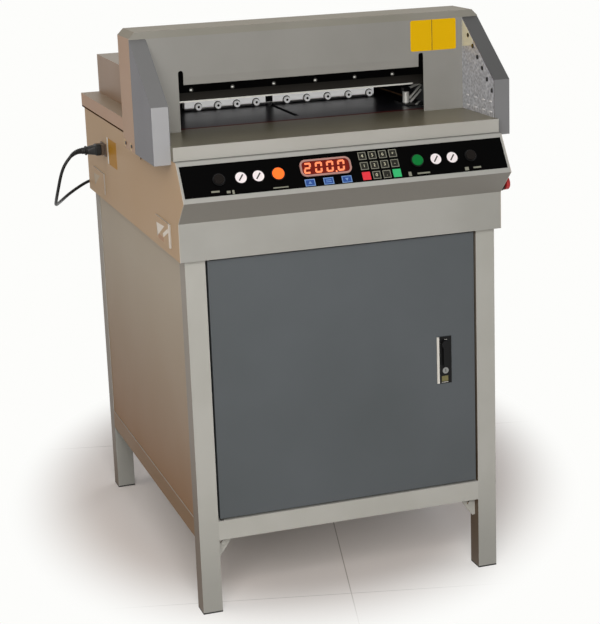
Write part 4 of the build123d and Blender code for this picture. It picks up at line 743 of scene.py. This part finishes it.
# Guard: a painted glint on the face of each screw's head, a little to the left of its middle
SCREW_XS = (-243.9, -159.9, -75.0, 11.6, 95.0, 175.9)
SCREW_Z = 1023.5
SCREW_GLINT = (4.4, 2.8, 1.2)
SCREW_GLINT_SHIFT = -0.8
SCREW_HEAD_OUT = -1.0
screw_glints = [rounded(x + SCREW_GLINT_SHIFT, SCREW_Z, *SCREW_GLINT) for x in SCREW_XS]
plates("guard_screw_glints", screw_glints, on_hood, SCREW_HEAD_OUT, SCREW_HEAD_OUT + SKIN, strip_metal,
       "screw_steel")

# Right lining: painted highlights on the pressed louvres' lips, and near its top a pale painted
# reflection of the hood's yellow label
LOUVRE_ROWS = (29.0, 9.0)
LOUVRE_SHARES = (0.029, 0.248, 0.503, 0.765)
LOUVRE_SIZE = (14.0, 3.0)
LOUVRE_PROUD = 1.0
LINER_REFLECTION = [(-222.0, 1122.0), (-225.8, 1122.0), (-275.0, 1086.3), (-272.0, 1076.0), (-222.0, 1069.0)]
cheek_y = node_box("cheek_right")[0].y
lip_glints = [rectangle(cheek_y + share * (hood_y - cheek_y) + LOUVRE_SIZE[0] / 2,
                  table_z + row + LOUVRE_SIZE[1] / 2, *LOUVRE_SIZE)
        for row in LOUVRE_ROWS for share in LOUVRE_SHARES]
lip_highlight_print = moulded_plastic("painted_louvre_highlight", "#eeeef2", roughness=0.4)
plates("louvre_lip_highlights", lip_glints, on_right_liner, LOUVRE_PROUD, LOUVRE_PROUD + SKIN, lip_highlight_print, "liner_steel")
reflection_film = moulded_plastic("painted_label_reflection", "#d6d4c0", roughness=0.5)
plates("liner_label_reflection", [LINER_REFLECTION], on_right_liner, 0, FILM, reflection_film, "liner_steel")

# Side guide: a dark cap on the knob, two links that run up to the fence, and a dark film of painted shade
# over its plate, with a bright strip on it
KNOB_CAP = ((241.8, -113.7, 969.2), (256.2, -99.3, 978.2))
KNOB_CAP_CORNER = 2.0
LINKS = (((255.0, 954.9), (282.5, 981.6)), ((257.0, 946.5), (282.5, 971.4)))
LINK_Y = -110.0
LINK_WIDTH = 3.6
PLATE_TOP = 946.0
PLATE_SHADE = (238.3, -147.2, 282.5, -68.0)
PLATE_SHADE_DEPTH = 2.9
PLATE_STRIP = ((257.0, -145.5), (281.0, -105.0), 5.0)
on_guide = on_front(LINK_Y)
on_plate = on_top(PLATE_TOP)
(cap_x, cap_y, cap_z), (cap_end_x, cap_end_y, cap_end_z) = KNOB_CAP
cap_outline = rounded((cap_x + cap_end_x) / 2, (cap_z + cap_end_z) / 2, cap_end_x - cap_x, cap_end_z - cap_z,
                      KNOB_CAP_CORNER)
plates("knob_cap", [cap_outline], on_guide, LINK_Y - cap_end_y, LINK_Y - cap_y, black_plastic, "knife_steel")
plates("guide_links", [bar(*link, LINK_WIDTH) for link in LINKS], on_guide, -LINK_WIDTH / 2, LINK_WIDTH / 2,
       strip_metal, "knife_steel")
# A dark film wrapped round the plate: painted shade
plates("guide_plate_shade", [rectangle_between(*PLATE_SHADE)], on_plate, -PLATE_SHADE_DEPTH, SKIN,
       black_plastic, "knife_steel")
plates("guide_plate_strip", [bar(*PLATE_STRIP)], on_plate, SKIN, SKIN + STRIP_PROUD, strip_metal,
       "knife_steel")

# Mains lead: the points of part.py's route, in metres, then the turns of the coil
LEAD_POINTS = [
    (-0.40504, 0.2375, 0.83604), (-0.41704, 0.2375, 0.82404), (-0.4280, 0.2410, 0.8010),
    (-0.4345, 0.2530, 0.7670), (-0.4360, 0.2850, 0.7330), (-0.4300, 0.3340, 0.7110),
    (-0.4110, 0.3840, 0.7080), (-0.3760, 0.4260, 0.7210), (-0.3210, 0.4445, 0.7450),
    (-0.2630, 0.4445, 0.7450), (-0.2220, 0.4455, 0.7280), (-0.2000, 0.4470, 0.6900),
    (-0.1970, 0.4475, 0.6320), (-0.2030, 0.4480, 0.5500), (-0.2120, 0.4480, 0.4550),
    (-0.2170, 0.4480, 0.3550), (-0.2160, 0.4480, 0.2550), (-0.2110, 0.4475, 0.1650),
    (-0.2040, 0.4470, 0.0950), (-0.1900, 0.4470, 0.0450), (-0.1650, 0.4470, 0.0135),
    (-0.1250, 0.4470, 0.0035), (-0.0920, 0.4470, 0.0035),
]
LEAD_DIAMETER = 7.0
TURN_PITCH = 7.5
LAYER_RISE = 7.8
COIL_OUTER = 47.5
POINTS_A_TURN = 20
TURNS = 4
CLIMB_START = 2.0
TURNS_IN = 2.5
TURNS_REVERSED = 3.0
REVERSE_PITCHES = 1.5
coil_x = LEAD_POINTS[-1][0] / MM + LEAD_DIAMETER
coil_y = LEAD_POINTS[-1][1] / MM + COIL_OUTER
coil_bottom_z = LEAD_POINTS[-1][2] / MM


def coil_reach(turns):
    """How far out the coil runs after some turns: in on the floor, then out again on top."""
    if turns <= TURNS_IN:
        return COIL_OUTER - TURN_PITCH * turns
    innermost = COIL_OUTER - TURN_PITCH * TURNS_IN
    if turns <= TURNS_REVERSED:
        reversed_share = (turns - TURNS_IN) / (TURNS_REVERSED - TURNS_IN)
        return innermost + REVERSE_PITCHES * TURN_PITCH * reversed_share
    return innermost + TURN_PITCH * (REVERSE_PITCHES + turns - TURNS_REVERSED)


def coil_height(turns):
    """Height of the lead's middle: it climbs one layer in the half turn before it reverses."""
    climbed = min(max(turns - CLIMB_START, 0.0) / (TURNS_IN - CLIMB_START), 1.0)
    return coil_bottom_z + LAYER_RISE * (1 - cos(pi * climbed)) / 2


# The control points stand a little outside the curve that they draw
coil_points = []
for step in range(TURNS * POINTS_A_TURN + 1):
    turns = step / POINTS_A_TURN
    reach = coil_reach(turns) / cos(pi / POINTS_A_TURN)
    angle = 2 * pi * turns
    coil_points.append(((coil_x + reach * sin(angle)) * MM, (coil_y - reach * cos(angle)) * MM,
                        coil_height(turns) * MM))
last_point = ((coil_x + LEAD_DIAMETER) * MM, coil_points[-1][1], coil_points[-1][2])


def lead_curve(name, points):
    """A round lead along one open NURBS spline, which its control points draw."""
    curve = bpy.data.curves.new(name, "CURVE")
    curve.dimensions = "3D"
    curve.bevel_depth = LEAD_DIAMETER / 2 * MM
    curve.bevel_resolution = 6
    curve.use_fill_caps = True
    spline = curve.splines.new("NURBS")
    spline.points.add(len(points) - 1)
    for control, point in zip(spline.points, points):
        control.co = (*point, 1.0)
    spline.order_u = 3
    spline.use_endpoint_u = True
    spline.resolution_u = 6
    curve.materials.append(cord_rubber)
    piece = bpy.data.objects.new(name, curve)
    bpy.context.scene.collection.objects.link(piece)
    return piece


# Connector in the inlet: a rounded head, a tapered body with a ring, and a ribbed boot that bends down.
# Each section gives the run along the axis and half the width and height there. Squareness is the power
# of the outline, which is an ellipse at 2 and squarer above it.
CONNECTOR_START = (-339.0, 237.5, 846.0)
CONNECTOR_SECTIONS = [(0.0, 13.5, 11.5), (1.5, 14.5, 12.5), (10.5, 14.5, 12.5), (14.0, 12.5, 10.5),
                      (30.0, 9.5, 8.8), (31.0, 10.8, 10.2), (34.0, 10.8, 10.2), (35.0, 7.4, 7.4),
                      (42.0, 7.0, 7.0)]
SQUARE_END = 30.0
BOOT_STRAIGHT_END = 42.0
BOOT_BEND = 34.0
BOOT_RIBS = 8
RIB_DEPTH = 0.9
BOOT_R = (7.0, 4.4)
SQUARENESS = (5.0, 2.0)
CONNECTOR_SIDES = 32
boot_turn = pi / 4
for step in range(1, 2 * BOOT_RIBS + 1):
    share = step / (2 * BOOT_RIBS)
    radius = BOOT_R[0] + share * (BOOT_R[1] - BOOT_R[0]) - (RIB_DEPTH if step % 2 else 0.0)
    CONNECTOR_SECTIONS.append((BOOT_STRAIGHT_END + share * boot_turn * BOOT_BEND, radius, radius))

shapes = bmesh.new()
loops = []
for run, half_wide, half_high in CONNECTOR_SECTIONS:
    turned = max(run - BOOT_STRAIGHT_END, 0.0) / BOOT_BEND
    middle = Vector(CONNECTOR_START) + Vector((-min(run, BOOT_STRAIGHT_END) - BOOT_BEND * sin(turned), 0,
                                               -BOOT_BEND * (1 - cos(turned))))
    power = 2 / (SQUARENESS[0] if run < SQUARE_END else SQUARENESS[1])
    loop = []
    for step in range(CONNECTOR_SIDES):
        a, b = cos(2 * pi * step / CONNECTOR_SIDES), sin(2 * pi * step / CONNECTOR_SIDES)
        wide = half_wide * abs(a) ** power * (1 if a > 0 else -1)
        high = half_high * abs(b) ** power * (1 if b > 0 else -1)
        loop.append(shapes.verts.new((middle + Vector((-sin(turned) * high, wide, cos(turned) * high))) * MM))
    loops.append(loop)
for first, second in zip(loops, loops[1:]):
    join_loops(shapes, first, second)
shapes.faces.new(loops[0])
shapes.faces.new(loops[-1])
connector = keep_mesh("connector", finished(shapes, "connector"), cord_rubber, "machine")
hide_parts("cord_connector")

mains_lead = lead_curve("mains_lead", LEAD_POINTS + coil_points[1:] + [last_point])
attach(mains_lead, "machine")
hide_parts("cord_lead", "cord_coil")

# Vinyl of the blank labels has flat colours with a satin sheen
yellow_film = moulded_plastic("yellow_vinyl", "#dcae04", roughness=0.5, grain_mm=0.8, specular=0.08)
ochre_film = moulded_plastic("ochre_vinyl", "#b07c0c", roughness=0.5, specular=0.1)
brown_film = moulded_plastic("orange_brown_vinyl", "#a87c58", roughness=0.5)
# Painted highlights for the access covers: a pale one, and a dimmer one for the rear cover
pale_highlight = moulded_plastic("painted_pale_highlight", "#e6dccf", roughness=0.4)
dim_highlight = moulded_plastic("painted_dim_highlight", "#b5a287", roughness=0.5)
dark_print = moulded_plastic("dark_print", "#2a2414", roughness=0.5)
white_film = moulded_plastic("white_vinyl", "#d9d7d0", roughness=0.4)
olive_film = moulded_plastic("olive_vinyl", "#6f6a45", roughness=0.5)

# Hood's label, with a dark line near its middle
HOOD_LABEL = (265.5, 1096.0, 99.0, 62.0)
HOOD_LABEL_CORNER = 4.0
HOOD_LABEL_DIVIDER = 262.6
DIVIDER_WIDTH = 1.2
plates("hood_label", [rounded(*HOOD_LABEL, HOOD_LABEL_CORNER)], on_hood, 0, FILM, yellow_film, "hood_paint")
plates("hood_label_divider", [rectangle(HOOD_LABEL_DIVIDER, HOOD_LABEL[1], DIVIDER_WIDTH, HOOD_LABEL[3])],
       on_hood, FILM, FILM + PRINT, dark_print, "hood_paint")

# Label on the body's left side, with a white strip beside it
SIDE_LABEL = (152.0, 848.0, 80.0, 58.0)
SIDE_LABEL_EDGE = (198.0, 848.0, 12.0, 58.0)
plates("side_label_edge", [rectangle(*SIDE_LABEL_EDGE)], on_left_side, 0, FILM, white_film, "body_paint")
plates("side_label", [rectangle(*SIDE_LABEL)], on_left_side, 0, FILM, ochre_film, "body_paint")

# Painted shadow in the gap beneath the lid's flange and along its front end, and pale rims round two screws
LID_GAP_SHADOWS = ((165.0, 915.0, 575.0, 3.6), (-124.0, 897.0, 2.4, 36.0))
LID_GAP_PROUD = 1.2
HOOD_SIDE_OUT = 32.5
SCREW_RIMS = ((-132.1, 917.5), (-184.9, 916.4))
RIM_R = 8.5
RIM_HOLE_R = 4.2
gap_shadow_print = moulded_plastic("shaded_gap", "#4a3220", roughness=0.7, specular=0.0)
plates("lid_gap_shadow", [rectangle(*gap) for gap in LID_GAP_SHADOWS], on_left_side, 0.0, LID_GAP_PROUD, gap_shadow_print,
       "body_paint")
rim_metal = moulded_plastic("chipped_paint_rim", "#c0a478", roughness=0.5)
screw_rims = rings(SCREW_RIMS, RIM_R, RIM_HOLE_R, on_left_side, HOOD_SIDE_OUT, HOOD_SIDE_OUT + FILM)
keep_mesh("screw_rims", screw_rims, rim_metal, "machine")

# Access covers: painted highlights on the front edge and in the finger recesses, dimmer on the rear cover,
# and a brown patch
COVER_OUT = 3.0
RECESS_OUT = 1.0
COVER_EDGE_HIGHLIGHT = (-342.5, 741.0, -334.0, 788.0)
COVER_HIGHLIGHT = [(-240.0, 774.0), (-302.0, 777.0), (-246.0, 749.0)]
COVER_HIGHLIGHT_BAR = ((-290.0, 757.0), (-331.0, 774.0), 8.0)
COVER_SHIFT = 593.0
COVER_PATCH = (-272.0, 748.5, 44.0, 9.0)
rear_highlight = [(y + COVER_SHIFT, z) for y, z in COVER_HIGHLIGHT]
for name, outlines, out_from, finish in (
        ("cover_edge_highlight", [rectangle_between(*COVER_EDGE_HIGHLIGHT)], COVER_OUT, pale_highlight),
        ("cover_highlight_front", [COVER_HIGHLIGHT, bar(*COVER_HIGHLIGHT_BAR)], RECESS_OUT, pale_highlight),
        ("cover_highlight_rear", [rear_highlight], RECESS_OUT, dim_highlight),
        ("cover_patch", [rectangle(*COVER_PATCH)], COVER_OUT, brown_film)):
    plates(name, outlines, on_left_side, out_from, COVER_OUT + PRINT, finish, "body_paint")

# Lock: a bright strip along its edge, a blank label and two light marks on the housing
LOCK_EDGE_OUT = 0.4
LOCK_EDGE_XS = (192.0, 196.6)
LOCK_EDGE_ZS = (415.5, 512.5)
LOCK_LABEL = (208.3, 425.0, 14.0, 11.0)
LOCK_LINE = (208.3, 417.5, 14.0, 0.9)
LOCK_DOT = (210.4, 506.0, 6.0, 2.5)
lock_low = node_box("lock_housing")[0]
lock_out = door_y - lock_low.y
edge_x, edge_end_x = LOCK_EDGE_XS
edge_section = [(edge_x, 0.0), (lock_low.x, 0.0), (lock_low.x, lock_out), (edge_end_x, lock_out),
                (edge_end_x, lock_out + LOCK_EDGE_OUT), (edge_x, lock_out + LOCK_EDGE_OUT)]


def along_door(across, out, up):
    """A point on the door for a section that lies flat, across the door and out of it."""
    return on_door(across, up, out)


plates("lock_edge", [edge_section], along_door, *LOCK_EDGE_ZS, white_film, "black_plastic", "door")
plates("lock_label", [rectangle(*LOCK_LABEL)], on_door, lock_out, lock_out + FILM, olive_film,
       "black_plastic", "door")
plates("lock_marks", [rectangle(*LOCK_LINE), rectangle(*LOCK_DOT)], on_door, lock_out, lock_out + FILM,
       white_film, "black_plastic", "door")

# Camera, at the place the photograph was taken from
CAMERA_PLACE = Vector((-1090.4, -3498.7, 1477.1))
CAMERA_YAW = 17.787
CAMERA_PITCH = -15.054
CAMERA_ROLL = -2.142
FOCAL_PIXELS = 1737.0
FRAME_WIDTH_PIXELS = 600.0
SENSOR_WIDTH = 36.0
yaw, pitch, roll = radians(CAMERA_YAW), radians(CAMERA_PITCH), radians(CAMERA_ROLL)
forward = Vector((sin(yaw) * cos(pitch), cos(yaw) * cos(pitch), sin(pitch)))
level_right = Vector((cos(yaw), -sin(yaw), 0))
level_up = level_right.cross(forward)
camera_right = level_right * cos(roll) + level_up * sin(roll)
camera_up = level_up * cos(roll) - level_right * sin(roll)
camera_data = bpy.data.cameras.new("camera")
camera_data.sensor_fit = "HORIZONTAL"
camera_data.sensor_width = SENSOR_WIDTH
camera_data.lens = FOCAL_PIXELS / FRAME_WIDTH_PIXELS * SENSOR_WIDTH
camera = bpy.data.objects.new("camera", camera_data)
camera.matrix_world = Matrix.Translation(CAMERA_PLACE * MM) @ Matrix(
    (camera_right, camera_up, -forward)).transposed().to_4x4()
bpy.context.scene.collection.objects.link(camera)
bpy.context.scene.camera = camera

# Floor, world and lamps
FLOOR_HALF = 9000.0
FLOOR_DEPTH = 10.0
BACKDROP = "#fdfdfb"
ROOM = "#d9dadd"
TILE_SEEN = "#f4ede9"
TILE_UNLIT = "#b8b0a8"
TILE_MORTAR = "#b7ada6"
TILE = 1000.0
TILE_JOINT = 3.0
TILE_TURN = -14.0
TILE_CORNER = (-12.0, -410.0, 0.0)
FADE_CENTRE = (107.0, 333.0, 0.0)
FADE_REACH = (690.0, 1000.0, 1000.0)
FADE_FROM = 0.66
FADE_TO = 1.0


def seen_directly(tree):
    """1 for rays from the camera and for what metal and glass show, else 0."""
    path = add(tree, "ShaderNodeLightPath").outputs
    either = add(tree, "ShaderNodeMath", {0: path["Is Camera Ray"], 1: path["Is Glossy Ray"]},
                 operation="MAXIMUM")
    return add(tree, "ShaderNodeMath", {0: either.outputs[0], 1: path["Is Transmission Ray"]},
               operation="MAXIMUM").outputs[0]


def floor_material():
    """Glazed beige tiles near the machine, with its shadow, that fade into a white backdrop."""
    material, tree, shader, place = new_material("pale_floor_tiles")
    turned = add(tree, "ShaderNodeMapping", {"Vector": place, "Location": [part * MM for part in TILE_CORNER],
                                             "Rotation": (0, 0, radians(TILE_TURN))}, vector_type="TEXTURE")
    tiles = add(tree, "ShaderNodeTexBrick", {
        "Vector": turned.outputs["Vector"], "Color1": TILE_SEEN, "Color2": TILE_SEEN, "Mortar": TILE_MORTAR,
        "Scale": 1.0, "Mortar Size": TILE_JOINT / 2 * MM, "Mortar Smooth": 0.6, "Brick Width": TILE * MM,
        "Row Height": TILE * MM}, offset=0.0)
    seen = seen_directly(tree)
    feed(tree, shader, {"Base Color": tinted(tree, TILE_UNLIT, (seen, tiles.outputs["Color"])),
                        "Roughness": 0.6, "Specular IOR Level": 0.2})
    oval = add(tree, "ShaderNodeMapping", {
        "Vector": place, "Location": [part * MM for part in FADE_CENTRE], "Rotation": (0, 0, -yaw),
        "Scale": [part * MM for part in FADE_REACH]}, vector_type="TEXTURE")
    reach = add(tree, "ShaderNodeVectorMath", {0: oval.outputs["Vector"]}, operation="LENGTH")
    fade = add(tree, "ShaderNodeMapRange", {"Value": reach.outputs["Value"], "From Min": FADE_FROM,
                                            "From Max": FADE_TO}, interpolation_type="SMOOTHSTEP")
    share = add(tree, "ShaderNodeMath", {0: fade.outputs["Result"], 1: seen}, operation="MULTIPLY")
    white = add(tree, "ShaderNodeEmission", {"Color": BACKDROP, "Strength": 1.0})
    mixed = add(tree, "ShaderNodeMixShader", {0: share.outputs[0], 1: shader.outputs["BSDF"],
                                              2: white.outputs["Emission"]})
    feed(tree, tree.nodes["Material Output"], {"Surface": mixed.outputs["Shader"]})
    return material


floor_mesh = prisms([rectangle(0, 0, 2 * FLOOR_HALF, 2 * FLOOR_HALF)], on_top(0.0), -FLOOR_DEPTH, 0.0)
floor = bpy.data.objects.new("floor", floor_mesh)
floor_mesh.materials.append(floor_material())
bpy.context.scene.collection.objects.link(floor)

world = bpy.data.worlds.new("studio")
bpy.context.scene.world = world
world.use_nodes = True
world_tree = world.node_tree
world_tree.nodes.clear()
room = add(world_tree, "ShaderNodeBackground", {"Color": ROOM, "Strength": 0.3})
backdrop = add(world_tree, "ShaderNodeBackground", {"Color": BACKDROP, "Strength": 1.0})
chosen = add(world_tree, "ShaderNodeMixShader", {0: seen_directly(world_tree), 1: room.outputs[0],
                                                 2: backdrop.outputs[0]})
add(world_tree, "ShaderNodeOutputWorld", {"Surface": chosen.outputs[0]})


def soft_lamp(name, place, aim, size, power, colour):
    """A square soft box aimed at a point."""
    lamp = bpy.data.lights.new(name, "AREA")
    lamp.size = size * MM
    lamp.energy = power
    lamp.color = linear(colour)[:3]
    holder = bpy.data.objects.new(name, lamp)
    turn = (Vector(aim) - Vector(place)).to_track_quat("-Z", "Y").to_matrix().to_4x4()
    holder.matrix_world = Matrix.Translation(Vector(place) * MM) @ turn
    bpy.context.scene.collection.objects.link(holder)


soft_lamp("key_lamp", (-1100, -2850, 2000), (0, 0, 700), 1700, 60, "#fffcf8")
soft_lamp("low_lamp", (-400, -3200, 1000), (0, 0, 800), 1400, 15, "#fffcf8")
soft_lamp("left_lamp", (-2000, 250, 2100), (-300, 0, 700), 1400, 7, "#fff4e8")
soft_lamp("top_lamp", (200, 300, 3600), (0, 0, 900), 2400, 15, "#ffffff")
soft_lamp("right_lamp", (3000, -1500, 1800), (0, 0, 700), 2000, 4, "#ffffff")
soft_lamp("rear_lamp", (2500, 2600, 700), (0, 200, 600), 1300, 20, "#ffffff")

bpy.context.scene.view_settings.view_transform = "Standard"
